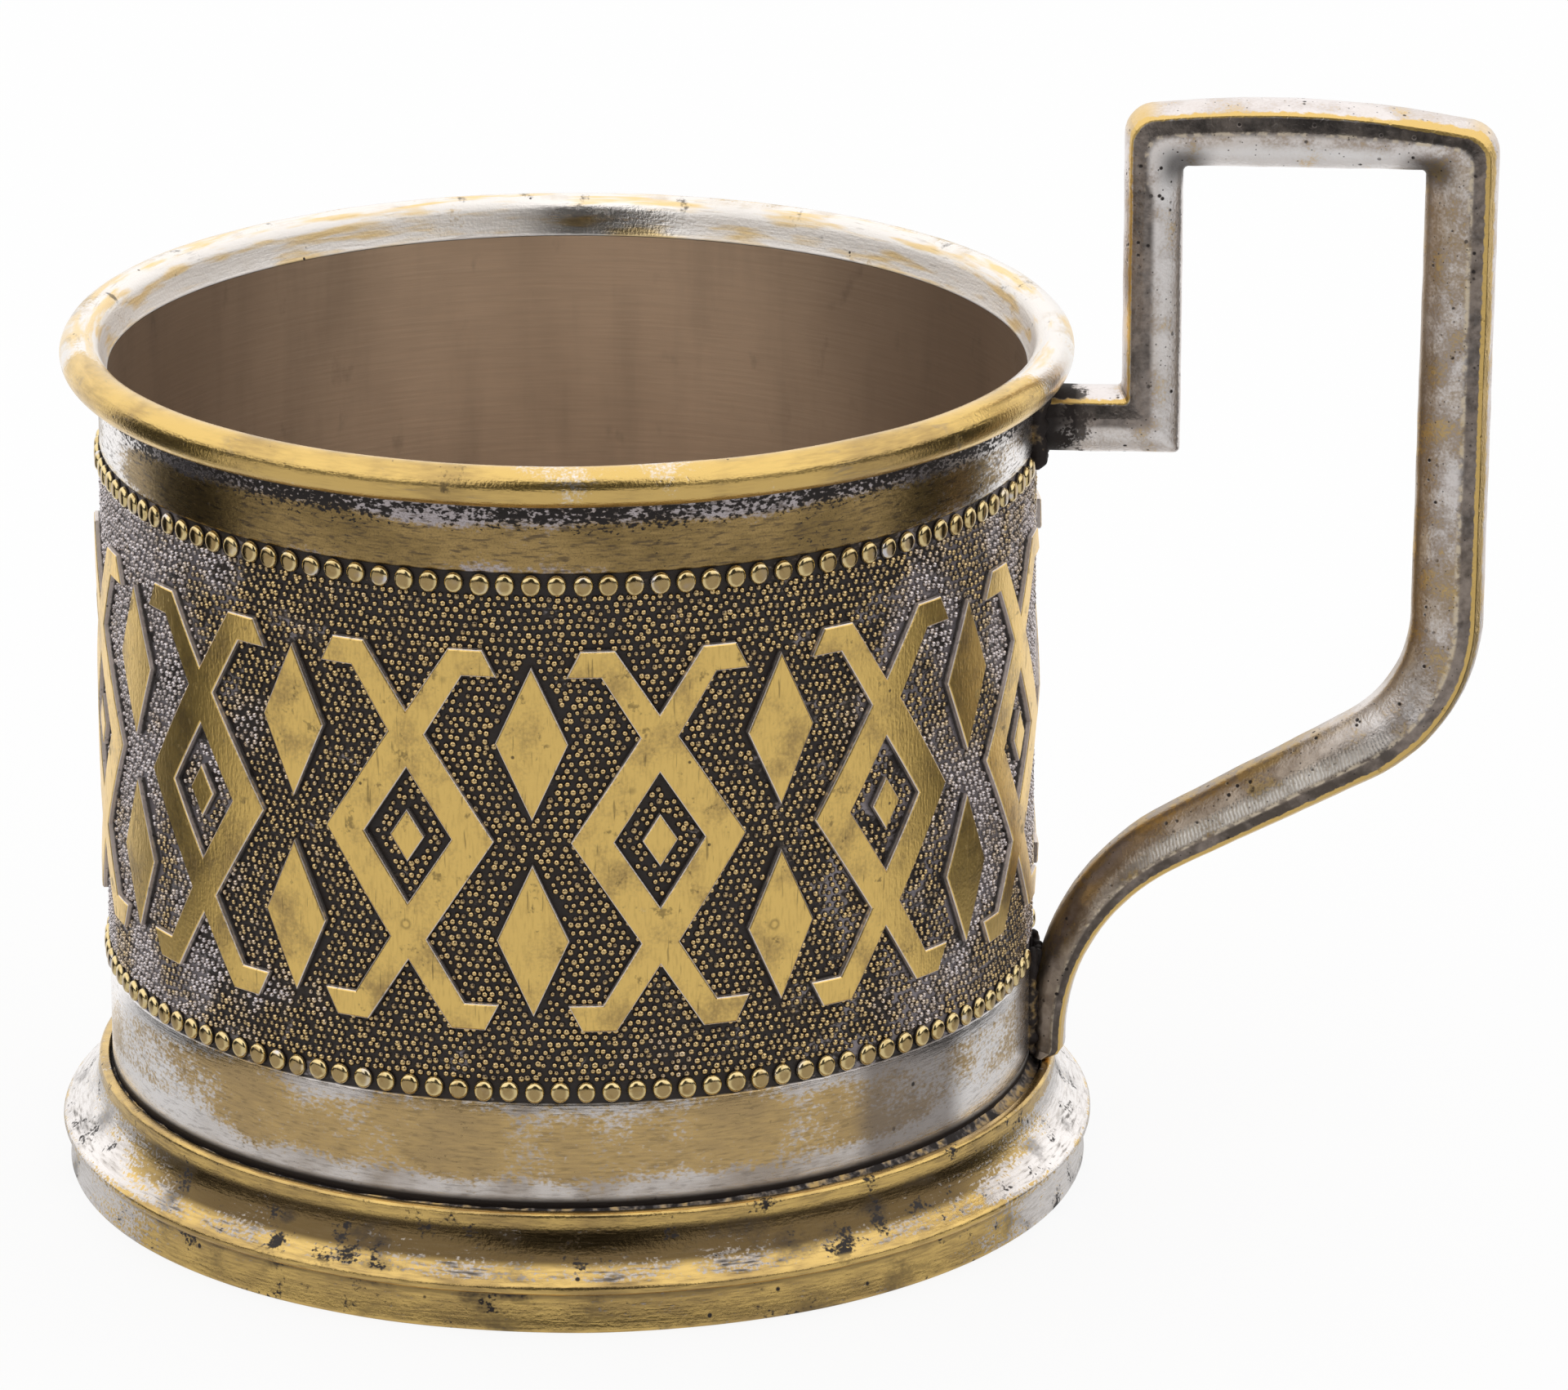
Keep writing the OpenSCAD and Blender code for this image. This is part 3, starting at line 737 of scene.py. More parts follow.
class CastMetal(Metal):
    """The handle's metal. Its depth is 0 at the outer edges and 1 on the side of the fingers."""

    def __init__(self):
        super().__init__("cast_handle")
        self.depth, self.along = self.attribute("depth_share"), self.attribute("along_mm")
        self.grains = self.noise(0.22, 2.0)
        self.patches = self.noise(2.6, 4.0)
        self.streaks = self.noise(0.6, 3.0)
        self.sweep = self.step(self.height, 37.0, 31.0)
        self.grip = self.step(self.x, 60.0, 63.5)
        self.upper_bars = (1 - self.grip) * (1 - self.sweep)
        self.broad = self.upper_bars * (1 - 0.7 * self.step(self.height, 76.0, 78.0))
        self.facet = (self.step(self.depth - 0.15 * self.broad, 0.36, 0.22)
                      * self.step(self.depth, 0.015, 0.05))

    def plate(self):
        """Plate with grey and brown patches, brighter towards the fingers, taupe on the sweep."""
        grey = self.step(self.patches + 0.25 * self.grains + 0.1 * self.grip, 0.56, 0.8)
        plate = self.tone(grey, CAST_PLATE, CAST_GREY)
        brown = self.step(self.noise(7.0, 3.0) + 0.4 * self.grains, 0.6, 0.95)
        plate = self.tone(brown * (0.3 + 0.4 * self.grip), plate, CAST_BROWN)
        plate = self.tone(self.step(self.depth, -0.02, -0.05) * 0.6, plate, CROWN_PLATE)
        inward = self.step(self.depth, 0.42, 0.68) * self.upper_bars
        top_bar = self.step(self.height, 74.0, 77.0)
        plate = self.tone(inward * (0.5 + 0.4 * top_bar), plate, INWARD_PLATE)
        taupe = self.tone(
            self.step(self.patches + 0.4 * self.streaks, 0.5, 0.95), TAUPE, DARK_TAUPE)
        return self.tone(self.sweep * 0.85 * self.step(self.depth, 0.02, 0.1), plate, taupe)

    def with_facets(self, base):
        """Adds the dark facets, their worn ridges, the inner strip and brass patches."""
        clouded = self.step(self.patches + 0.5 * self.streaks - 0.12 * self.sweep, 0.5, 1.0)
        base = self.tone(self.facet * 0.9, base, self.tone(clouded, BLACK_SLATE, GREY_SLATE))
        ridge = self.band(self.depth, (0.24, 0.285), (0.36, 0.31)) * (1 - self.broad)
        base = self.tone(ridge * self.step(self.streaks, 0.42, 0.6), base, RIDGE_BRASS)
        strip = self.step(self.depth, 0.86, 0.95) * (0.2 + 0.6 * self.grip + 0.4 * self.sweep)
        base = self.tone(strip, base, INNER_STRIP)
        worn = self.step(self.patches + 0.4 * self.grains + 0.06 * self.grip, 0.78, 1.0)
        return self.tone(worn * (1 - self.facet) * 0.7, base, self.colours.brass)

    def with_sweep_marks(self, base):
        """Adds the sweep's brass upper edge and the shade below it."""
        edge = self.step(self.depth, 0.84, 0.93) * self.sweep
        base = self.tone(edge * self.step(self.streaks + self.patches, 0.85, 1.1), base, EDGE_BRASS)
        shaded = self.sweep * self.step(self.depth, 0.56, 0.66) * 0.45
        return self.tone(shaded, base, SWEEP_SHADE)

    def filed(self):
        """Where the sweep's flank has been filed."""
        reach = self.band(self.x, (41.0, 46.0), (66.0, 60.0)) * self.sweep
        flank = self.band(self.depth, (0.30, 0.38), (0.66, 0.5))
        return reach * flank * self.step(self.patches + 0.3 * self.grains, 0.95, 0.65)

    def bright_edges(self):
        """Brass lines along the outer edges, wider on the grip and the sweep."""
        place = self.depth + 0.08 * (self.streaks - 0.5)
        wide = 0.05 * self.grip + 0.05 * self.sweep
        line = self.band(place, (-0.055 - wide, -0.03 - wide),
                         (0.035 + 0.8 * wide, 0.015 + 0.8 * wide))
        corners = self.step(self.x, 44.6, 42.6) + self.step(self.x, 66.2, 68.0)
        corners = corners * self.step(self.height, 80.4, 82.2) * self.step(self.depth, 0.0, -0.02)
        return self.clamped(line + corners * 0.8)

    def tarnish(self, pits):
        """Dark pits, stains, both roots and painted shade in the mitred inner corners."""
        at_arm = self.step(self.height, 40.0, 50.0)
        tail_root = self.step(self.height, 20.0, 15.0) * (1 - at_arm)
        root = (at_arm * self.step(self.x, 38.6, 36.2)
                + 0.35 * tail_root * self.step(self.depth, 0.1, 0.3))
        by_sleeve = self.step(self.x, 41.5, 38.0) * at_arm
        stain = self.step(self.patches + 0.25 * self.grains + 0.25 * by_sleeve, 0.84, 0.94)
        # Painted shade: the mitred inner corners of the top bar are darkened along their crease
        mitre_shade = self.step(self.x, 48.6, 46.0) + self.step(self.x, 60.9, 63.4)
        mitre_shade = mitre_shade * self.step(self.height, 76.4, 78.6) * self.step(self.depth, 0.4, 0.8)
        fine_pits = self.pits(0.34, 0.2, 0.26)
        return self.clamped(pits + 0.7 * fine_pits + root + stain * 0.8 + 0.75 * mitre_shade)


def handle_finish():
    """The handle: brass edge lines, a dark facet beside each, pitted plate between."""
    m = CastMetal()
    base = m.with_sweep_marks(m.with_facets(m.plate()))
    filed = m.filed()
    ribs = m.maths("SINE", m.along * (math.tau / 0.3) + 7.0 * m.streaks + 9.0 * m.depth)
    base = m.tone(filed * (0.8 + 0.2 * ribs), base, FILED_PLATE)
    bright = m.bright_edges()
    base = m.tone(bright, base, m.colours.brass)
    pits = m.pits(0.8, 0.4, 0.24) * m.step(m.noise(2.5, 2.0), 0.44, 0.56)
    lift = m.grains + filed * ribs * 0.9 - 1.5 * pits
    darkening = m.tarnish(pits) * (1 - 0.85 * bright)
    return m.cast(base, 0.25 + 0.18 * m.patches, lift, darkening, bump=0.03, metallic=1 - 0.7 * filed)


def solder_finish(name="blackened_solder", shine=0.12):
    """Dull solder with a few bright worn tips."""
    m = Metal(name)
    grains = m.noise(0.4, 3.0)
    patches = m.noise(1.4, 3.0)
    base = m.tone(m.step(patches, 0.4, 0.7), m.colours.grey_silver, m.colours.old_brass)
    darkening = m.step(patches + 0.4 * grains, 0.86 + shine, 0.62 + shine)
    return m.cast(base, 0.35 + 0.2 * grains, grains, darkening, bump=0.05)


# Sleeve

def sleeve_outline():
    """The sheet's section: smooth bands with a slightly sunk ground between them."""
    s = sleeve_sizes()
    ground = SLEEVE_R - s.ground_sink
    halfway = SLEEVE_R - 0.3 * s.ground_sink
    step_h, margin_h = 0.12 * MM, 0.95 * MM
    low, high = TABLE_Z + s.lower_row - margin_h, TABLE_Z + s.upper_row + margin_h
    base = [(SLEEVE_R, SLEEVE_LOW)] + [(SLEEVE_R, z) for z in spread(SLEEVE_LOW, low, 8)]
    base += [(SLEEVE_R, low - step_h), (halfway, low), (ground, low + step_h)]
    middle = [(ground, z) for z in spread(low, high, 20)]
    neck = [(ground, high - step_h), (halfway, high), (SLEEVE_R, high + step_h)]
    neck += [(SLEEVE_R, z) for z in spread(high, SLEEVE_TOP, 5)] + [(SLEEVE_R, SLEEVE_TOP)]
    inner = [(WELL_R, z) for z in [SLEEVE_TOP] + spread(SLEEVE_TOP, SLEEVE_LOW, 16) + [SLEEVE_LOW]]
    return base + middle + neck + inner


class HOLDER_OT_sleeve(bpy.types.Operator):
    """Makes the sleeve's sheet, open along its seam"""

    bl_idname = "holder.sleeve"
    bl_label = "Sleeve"

    def execute(self, context):
        seam = math.asin(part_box("sleeve_seam_solder")[1].y / SLEEVE_R)
        bm = spun(sleeve_outline(), SLEEVE_SIDES, seam, math.tau - 2 * seam)
        mesh = mesh_of(bm)
        settle("sleeve_sheet", mesh, ["sleeve"],
               [smooth_bands(), lining_finish()])
        for face in mesh.polygons:
            middle = face.center
            face.material_index = int(math.hypot(middle.x, middle.y) < (SLEEVE_R + WELL_R) / 2)
        return {"FINISHED"}


class HOLDER_OT_beads(bpy.types.Operator):
    """Sets both rows of beads round the sleeve, up to the handle"""

    bl_idname = "holder.beads"
    bl_label = "Bead rows"

    def execute(self, context):
        s = sleeve_sizes()
        brass_beads = bead_finish()
        girth = math.tau * SLEEVE_R
        room = handle_sizes().bar_w / 2 + s.bead_w * 0.6
        bead_depth = 0.56 * MM
        # How far beads stray in place along and up, then as shares of their width, depth and
        # height, then in turn
        strays = np.array([0.02 * MM, 0.025 * MM, 0.03, 0.04, 0.03, 0.06])[:, None]
        random = np.random.default_rng(SEED)
        for name, height in (("lower_beads", s.lower_row), ("upper_beads", s.upper_row)):
            along = (np.arange(s.bead_count) + 0.5) * girth / s.bead_count
            along = along[np.minimum(along, girth - along) > room]
            stray = strays * random.normal(0, 1, (6, len(along)))
            places = np.stack([
                along + stray[0], TABLE_Z + height + stray[1], s.bead_w / 2 * (1 + stray[2]),
                bead_depth * (1 + stray[3]), s.bead_h / 2 * (1 + stray[4]), stray[5]], axis=1)
            template = dome(segments=18, rings=14, flatness=0.34)
            mesh = scattered(template, places, SLEEVE_R - s.ground_sink)
            settle(name, mesh, ["sleeve"], [brass_beads], sharp_angle=60.0)
        return {"FINISHED"}


def horned_outline():
    """Quarter of the horned lozenge's outline, as (across, up) points round its open window."""
    s = frieze_sizes()
    w, h = s.lozenge_w, s.lozenge_h
    side = math.hypot(w, h)
    window = 1 - s.stroke * side / (w * h)
    horn = 0.8 * s.stroke * side / h
    root = h - s.stroke / 2 * side / w
    tip = (s.half_h - root) * w / h
    barb_drop, barb_reach = 2.0 * MM, 1.0 * MM
    barb_x, barb_z = tip - 0.1 * horn, s.half_h - barb_drop
    slope = (barb_x - horn / 2) / (barb_z - root)
    join_z = (w - horn / 2 + slope * root) / (slope + w / h)
    join = (w * (1 - join_z / h), join_z)
    notch = root + horn / 2 * (s.half_h - root) / tip
    return [
        (w, 0), join, (barb_x, barb_z), (tip + horn / 2 + barb_reach, barb_z),
        (tip + horn / 2, s.half_h), (tip - horn / 2, s.half_h), (0, notch),
        (0, h * window), (w * window, 0)]


def raised(outlines, mirrored):
    """Bmesh of flat outlines raised by the frieze's relief, with a narrow sloping edge."""
    s = frieze_sizes()
    foot, slope_w, slope_h = 0.25 * MM, 0.13 * MM, 0.09 * MM
    bm = bmesh.new()
    for outline in outlines:
        bm.faces.new([bm.verts.new((x, -foot, z)) for x, z in outline])
    for axis in "XZ" if mirrored else "":
        bmesh.ops.mirror(
            bm, geom=bm.verts[:] + bm.edges[:] + bm.faces[:], axis=axis, merge_dist=5 * MERGE)
    bmesh.ops.remove_doubles(bm, verts=bm.verts, dist=10 * MERGE)
    bmesh.ops.recalc_face_normals(bm, faces=bm.faces)
    lifted = bmesh.ops.extrude_face_region(bm, geom=bm.faces[:], use_keep_orig=True)
    top = only(lifted["geom"], bmesh.types.BMVert)
    bmesh.ops.translate(bm, verts=top, vec=(0, foot + s.relief - slope_h, 0))
    faces = only(lifted["geom"], bmesh.types.BMFace)
    bmesh.ops.recalc_face_normals(bm, faces=bm.faces)
    bmesh.ops.inset_region(bm, faces=faces, thickness=slope_w, use_even_offset=True)
    inner = {vert for face in faces for vert in face.verts}
    bmesh.ops.translate(bm, verts=list(inner), vec=(0, slope_h, 0))
    return bm


def curved_copies(bm, angles, middle_z):
    """Mesh of the raised work laid round the sleeve at each angle."""
    facet_w = 1.1 * MM
    count = int(max(vert.co.x for vert in bm.verts) / facet_w)
    slice_up(bm, [(i * facet_w, 0, 0) for i in range(-count, count + 1)], (1, 0, 0), dist=MERGE)
    bmesh.ops.recalc_face_normals(bm, faces=bm.faces)
    template = plain_mesh(bm)
    shape = corners_of(template)
    points = np.stack([shape + (angle * SLEEVE_R, 0, middle_z) for angle in angles])
    return laid_round(copies(template, len(angles)), points, SLEEVE_R)


def frieze_middle():
    s = sleeve_sizes()
    return TABLE_Z + (s.lower_row + s.upper_row) / 2


def lozenge(w, h, up=0.0):
    """Corners of a lozenge of half width w and half height h, its middle lifted by up."""
    return [(-w, up), (0, up + h), (w, up), (0, up - h)]


def heart():
    """The small lozenge in the window of each large one."""
    s = frieze_sizes()
    share = 0.2
    return lozenge(share * s.lozenge_w, share * s.lozenge_h)


def spindle(side):
    """The small lozenge above (side 1) or below (side -1) the frieze's middle."""
    s = frieze_sizes()
    return lozenge(s.spindle_w, s.spindle_h, side * (s.spindle_rise + s.spindle_h))


class HOLDER_OT_frieze(bpy.types.Operator):
    """Raises the horned lozenges and the pairs of small lozenges"""

    bl_idname = "holder.frieze"
    bl_label = "Frieze"

    def execute(self, context):
        s = frieze_sizes()
        brass_faces = frieze_finish()
        pitch = math.tau / s.motifs
        large = [(i + 0.5) * pitch for i in range(s.motifs)]
        between = [i * pitch for i in range(1, s.motifs)]
        groups = (
            ("frieze_lozenges", [horned_outline()], True, large),
            ("frieze_hearts", [heart()], False, large),
            ("frieze_spindles", [spindle(-1), spindle(1)], False, between))
        for name, outlines, mirrored, angles in groups:
            mesh = curved_copies(raised(outlines, mirrored), angles, frieze_middle())
            settle(name, mesh, ["sleeve"], [brass_faces], sharp_angle=25.0)
        return {"FINISHED"}


def inside(points, outline):
    """Whether each point lies inside the outline."""
    x, z = points[:, 0], points[:, 1]
    hit = np.zeros(len(points), bool)
    for (x1, z1), (x2, z2) in zip(outline, outline[1:] + outline[:1]):
        if z1 == z2:
            continue
        crosses = (z1 > z) != (z2 > z)
        hit ^= crosses & (x < (x2 - x1) * (z - z1) / (z2 - z1) + x1)
    return hit


def margin(points, path):
    """Distance of each point from the nearest stretch of a path."""
    nearest = np.full(len(points), 1.0)
    for start, end in zip(path, path[1:]):
        a, b = np.array(start), np.array(end)
        share = np.clip(((points - a) @ (b - a)) / ((b - a) @ (b - a)), 0, 1)
        gap = np.linalg.norm(points - a - share[:, None] * (b - a), axis=1)
        nearest = np.minimum(nearest, gap)
    return nearest


def under_frieze(along, up, room):
    """Whether a dome at each place would stand on the raised work.

    Beside the small lozenges and in the windows, domes also keep the given room.
    """
    s = frieze_sizes()
    period = math.tau * SLEEVE_R / s.motifs
    rise = np.abs(up - frieze_middle())
    across = np.abs((along % period) - period / 2)
    place = np.stack([across, rise], axis=1)
    quarter = horned_outline()
    window = quarter[7:]
    hit = inside(place, quarter) | inside(place, heart())
    hit |= (margin(place, window) < room) | (margin(place, heart() + heart()[:1]) < room)
    beside = np.abs(((along + period / 2) % period) - period / 2)
    place = np.stack([beside, rise], axis=1)
    upper = spindle(1)
    at_seam = np.minimum(along, math.tau * SLEEVE_R - along) < period / 2
    hit |= (inside(place, upper) | (margin(place, upper + upper[:1]) < room)) & ~at_seam
    return hit


class HOLDER_OT_stipple(bpy.types.Operator):
    """Fills the ground between the raised work with close-set domes"""

    bl_idname = "holder.stipple"
    bl_label = "Stippled ground"

    def execute(self, context):
        s = sleeve_sizes()
        random = np.random.default_rng(SEED)
        girth = math.tau * SLEEVE_R
        clear = 0.98 * MM
        low, high = TABLE_Z + s.lower_row + clear, TABLE_Z + s.upper_row - clear
        row_gap = s.dome_pitch * math.sqrt(3) / 2
        rows, across = int((high - low) / row_gap) + 1, int(girth / s.dome_pitch)
        along = (np.arange(across)[None, :] + 0.5 * (np.arange(rows)[:, None] % 2)) * girth / across
        up = low + np.arange(rows)[:, None] * (high - low) / (rows - 1) + 0 * along
        along, up = along.ravel(), up.ravel()
        stray = 0.22
        along = (along + random.uniform(-stray, stray, along.size) * s.dome_pitch) % girth
        up = np.clip(up + random.uniform(-stray, stray, up.size) * s.dome_pitch, low, high)
        kept = ~under_frieze(along, up, room=0.3 * MM)
        along, up = along[kept], up[kept]
        size = s.dome_r * random.uniform(0.82, 1.14, along.size)
        places = np.stack([
            along, up, size * random.uniform(0.9, 1.1, along.size),
            s.dome_h * random.uniform(0.8, 1.2, along.size), size,
            random.uniform(0, math.pi, along.size)], axis=1)
        template = dome(segments=6, rings=4)
        stippled = stipple_finish()
        sectors = 4
        for i in range(sectors):
            chosen = places[(along * sectors // girth).astype(int) == i]
            mesh = scattered(template, chosen, SLEEVE_R - s.ground_sink)
            settle(f"stipple_{i + 1}", mesh, ["sleeve"], [stippled], sharp_angle=75.0)
        return {"FINISHED"}


# Rim, foot and floor

def rim_outline():
    """The roll, and the flare that runs from it down to the well's wall."""
    roll = (RIM_OUT - SLEEVE_R) / 2 + 0.1 * MM
    roll_start, flare_start, flare_sag = -98.0, 160.0, 0.12 * MM
    points = arc((RIM_OUT - roll, RIM_TOP - roll), roll, roll_start, flare_start, 40)
    r, z = points[-1]
    flare = [
        (r + (WELL_R - r) * t, z + (SLEEVE_TOP - z) * t - flare_sag * math.sin(math.pi * t))
        for t in (0.2, 0.4, 0.6, 0.8, 0.93)]
    bevel, ledge = 0.08 * MM, 0.5 * MM
    bottom = [(WELL_R, SLEEVE_TOP + 0.05 * MM), (WELL_R + bevel, SLEEVE_TOP),
              (SLEEVE_R + ledge, SLEEVE_TOP)]
    return points + flare + bottom


def rim_fillet_outline():
    """The solder under the roll, in millimetres out from the sleeve's side and up from its top."""
    section_mm = [(-0.1, -0.42), (0.05, -0.42), (0.2, -0.22), (0.5, -0.02), (0.5, 0.1), (-0.1, 0.1)]
    return [(SLEEVE_R + out * MM, SLEEVE_TOP + up * MM) for out, up in section_mm]


class HOLDER_OT_rim(bpy.types.Operator):
    """Rolls the rim and runs its solder line beneath"""

    bl_idname = "holder.rim"
    bl_label = "Rim"

    def execute(self, context):
        bm = spun(rim_outline(), RING_SIDES)
        wander(bm, amount=0.05 * MM, size=9.0 * MM)
        settle("rolled_rim", mesh_of(bm), ["rim_ring"], [rim_finish()],
               sharp_angle=40.0)
        bm = spun(rim_fillet_outline(), RING_SIDES)
        wander(bm, amount=0.12 * MM, size=1.2 * MM, seed=3.0)
        settle("rim_fillet", mesh_of(bm), ["rim_solder"],
               [solder_finish()], sharp_angle=60.0)
        return {"FINISHED"}


def foot_outline():
    """The foot's section about its own axis, with heights above the table in millimetres."""
    band = [(38.8, 0, 0.25), (38.62, 0.7, 0), (38.48, 1.5, 0), (38.38, 2.2, 0), (38.34, 2.75, 0),
            (38.4, 3.02, 0)]
    crest = [(r, z, 0) for r, z in arc((38.72, 3.5), 0.48, -80, 62, 9)]
    cove = [(38.72, 4.12, 0), (38.3, 4.45, 0), (37.85, 4.85, 0), (37.4, 5.3, 0),
            (37.02, 5.8, 0), (36.74, 6.35, 0), (36.56, 6.9, 0), (36.45, 7.4, 0)]
    lip = [(36.42, 7.7, 0), (36.4, 8.4, 0.33), (35.62, 8.4, 0.12), (35.62, 4.4, 0)]
    shoulder = [(33.0, 4.4, 0), (33.0, 3.2, 0), (35.6, 3.2, 0), (37.6, 0, 0.15)]
    corners = band + crest + cove + lip + shoulder
    return [(r * MM, TABLE_Z + z * MM) for r, z in smoothed(corners, 5)]


def groove_outline():
    """The groove's filling, from the sleeve's lower end up to the foot's lip."""
    base = SLEEVE_LOW + 0.4 * MM
    return [(SLEEVE_R - 0.15 * MM, base), (SLEEVE_R + 0.55 * MM, base),
            (SLEEVE_R + 0.58 * MM, LIP_Z - 0.5 * MM), (SLEEVE_R + 0.3 * MM, LIP_Z - 0.42 * MM),
            (SLEEVE_R + 0.1 * MM, LIP_Z - 0.2 * MM), (SLEEVE_R - 0.15 * MM, LIP_Z + 0.05 * MM)]


class HOLDER_OT_foot(bpy.types.Operator):
    """Turns the stepped foot and fills its groove"""

    bl_idname = "holder.foot"
    bl_label = "Foot"

    def execute(self, context):
        bm = spun(foot_outline(), RING_SIDES)
        wander(bm, amount=0.035 * MM, size=8.0 * MM, seed=5.0)
        bmesh.ops.translate(bm, verts=bm.verts, vec=(FOOT_SHIFT, 0, 0))
        settle("stepped_foot", mesh_of(bm), ["foot_ring"],
               [foot_finish()], sharp_angle=30.0)
        bm = spun(groove_outline(), RING_SIDES)
        wander(bm, amount=0.1 * MM, size=1.0 * MM, seed=8.0)
        bmesh.ops.translate(bm, verts=bm.verts, vec=(FOOT_SHIFT * 0.4, 0, 0))
        settle("groove_solder", mesh_of(bm), ["foot_solder"],
               [solder_finish("groove_filling", shine=0.0)], sharp_angle=60.0)
        return {"FINISHED"}


def floor_outline():
    """The floor's section: a flat seat with a ring pressed in and a turned air hole."""
    hole, flat = 4.5 * MM, 30.0 * MM
    ring_depth, ring_round, ring_half, groove_half = 0.12 * MM, 0.4 * MM, 0.9 * MM, 0.3 * MM
    corners = [(WELL_R, 0, 0), (flat, 0, 0)]
    for middle in (28.0 * MM, 17.0 * MM):
        corners += [(middle + ring_half, 0, 0), (middle + groove_half, -ring_depth, ring_round),
                    (middle - groove_half, -ring_depth, ring_round), (middle - ring_half, 0, 0)]
    corners += [(hole, 0, 0.3 * MM), (hole, FLOOR_LOW, 0.15 * MM), (WELL_R, FLOOR_LOW, 0)]
    return smoothed(corners, 4)


def floor_finish():
    """The seat: turned rings, worn bright where the glass stands."""
    m = Metal("turned_floor")
    turned = m.noise(0.9, 3.0)
    rings = m.maths("SINE", m.radius * (math.tau / 0.45) + 2.0 * turned)
    clouds = m.noise(8.0, 4.0)
    seat = m.band(m.radius, (29.0, 31.0), (34.2, 33.4))
    base = m.tone(m.step(clouds, 0.35, 0.75), m.colours.lining, darker(m.colours.lining, 0.5))
    base = m.tone(seat * 0.5 * clouds, base, m.colours.silver)
    darkening = m.step(clouds + 0.15 * turned, 0.68, 0.85) * 0.6 + m.step(m.radius, 33.5, 34.2) * 0.8
    return m.cast(base, 0.36 + 0.1 * clouds, rings * 0.5 + turned, darkening)


class HOLDER_OT_floor(bpy.types.Operator):
    """Turns the floor that the glass stands on and finishes its solder"""

    bl_idname = "holder.floor"
    bl_label = "Floor"

    def execute(self, context):
        bm = spun(floor_outline(), FLOOR_SIDES)
        settle("turned_floor", mesh_of(bm), ["floor_disc"],
               [floor_finish()], sharp_angle=30.0)
        size = 0.8 * MM
        fillet = [(WELL_R, FLOOR_LOW - size), (WELL_R, FLOOR_LOW)]
        fillet += arc((WELL_R - size, FLOOR_LOW - size), size, 90, 10, 5)
        bm = spun(fillet, FLOOR_SIDES)
        wander(bm, amount=0.08 * MM, size=2.0 * MM, seed=2.0)
        skin = mesh_of(bm)
        skin.flip_normals()  # its sharp lower edge misleads mesh_of, which turns it inside out
        settle("floor_fillet", skin, ["floor_solder"],
               [solder_finish("floor_solder_skin", shine=0.0)], sharp_angle=60.0)
        return {"FINISHED"}


# Handle

ARM_Z = SLEEVE_TOP - 1.9 * MM
ARM_DEPTH, GRIP_DEPTH = 4.2 * MM, 4.7 * MM


def handle_edges():
    """Matched points of the handle's outer and inner edge, from the sleeve round to the tail.

    The outer path runs over the arm, up the riser, along the top bar, down the grip to the heel,
    along the sweep to the ankle and down the tail.
    """
    riser_d, top_d, sweep_d, ankle_d = 3.8 * MM, 4.0 * MM, 4.8 * MM, 3.5 * MM
    riser_x, grip_x, tail_x = SLEEVE_R + 6.9 * MM, SLEEVE_R + 33.3 * MM, SLEEVE_R + 2.3 * MM
    top_z, top_fall, top_bow = SLEEVE_TOP + 20.0 * MM, 1.0 * MM, 0.8 * MM
    ankle_z = LIP_Z + 11.3 * MM
    heel_z = ankle_z + 15.7 * MM
    lean = 0.5 * MM
    root_x = SLEEVE_R - 0.4 * MM
    tail_z = LIP_Z + 0.1 * MM

    heel, ankle = Vector((grip_x - lean, heel_z)), Vector((tail_x, ankle_z))
    slope = (heel.y - ankle.y) / (heel.x - ankle.x)
    slant = math.hypot(1, slope)
    inner_heel_x = grip_x - GRIP_DEPTH - lean
    inner_heel = (inner_heel_x, ankle.y + slope * (inner_heel_x - ankle.x) + sweep_d * slant)
    inner_ankle = (SLEEVE_R, ankle.y + slope * (SLEEVE_R - ankle.x) + ankle_d * slant)
    outer = [(root_x, ARM_Z), (riser_x, ARM_Z), (riser_x, top_z), (grip_x, top_z - top_fall),
             tuple(heel), tuple(ankle), (tail_x, tail_z)]
    inner = [(root_x, ARM_Z - ARM_DEPTH), (riser_x + riser_d, ARM_Z - ARM_DEPTH),
             (riser_x + riser_d, top_z - top_d), (grip_x - GRIP_DEPTH, top_z - top_d),
             inner_heel, inner_ankle, (SLEEVE_R - 0.03 * MM, tail_z)]
    # Each bend's outer radius, inner radius and steps
    bends = [(0.5 * MM, 0.4 * MM, 6), (2.0 * MM, 0.4 * MM, 8), (2.0 * MM, 0.4 * MM, 8),
             (14.0 * MM, 14.0 * MM - GRIP_DEPTH, 16), (16.0 * MM, 16.0 * MM + ankle_d, 20)]
    bows = [0.0, 0.0, top_bow, 0.0, 0.0, 0.0]

    sides = []
    for corners, pick in ((outer, 0), (inner, 1)):
        arcs = [rounded(corners[i], corners[i + 1], corners[i + 2], bends[i][pick], bends[i][2])
                for i in range(5)]
        sides.append((corners, arcs))
    edges = ([Vector(outer[0])], [Vector(inner[0])])
    for i in range(6):
        ends = [
            (edges[side][-1], arcs[i][0] if i < 5 else Vector(corners[-1]))
            for side, (corners, arcs) in enumerate(sides)]
        reach = max((b - a).length for a, b in ends)
        count = max(2, round(reach / handle_sizes().station_gap))
        for side, (a, b) in enumerate(ends):
            bow = bows[i] if side == 0 else 0.0
            for j in range(1, count):
                t = j / count
                edges[side].append(a.lerp(b, t) + Vector((0, 4 * bow * t * (1 - t))))
            edges[side].extend(sides[side][1][i] if i < 5 else [b])
    return edges


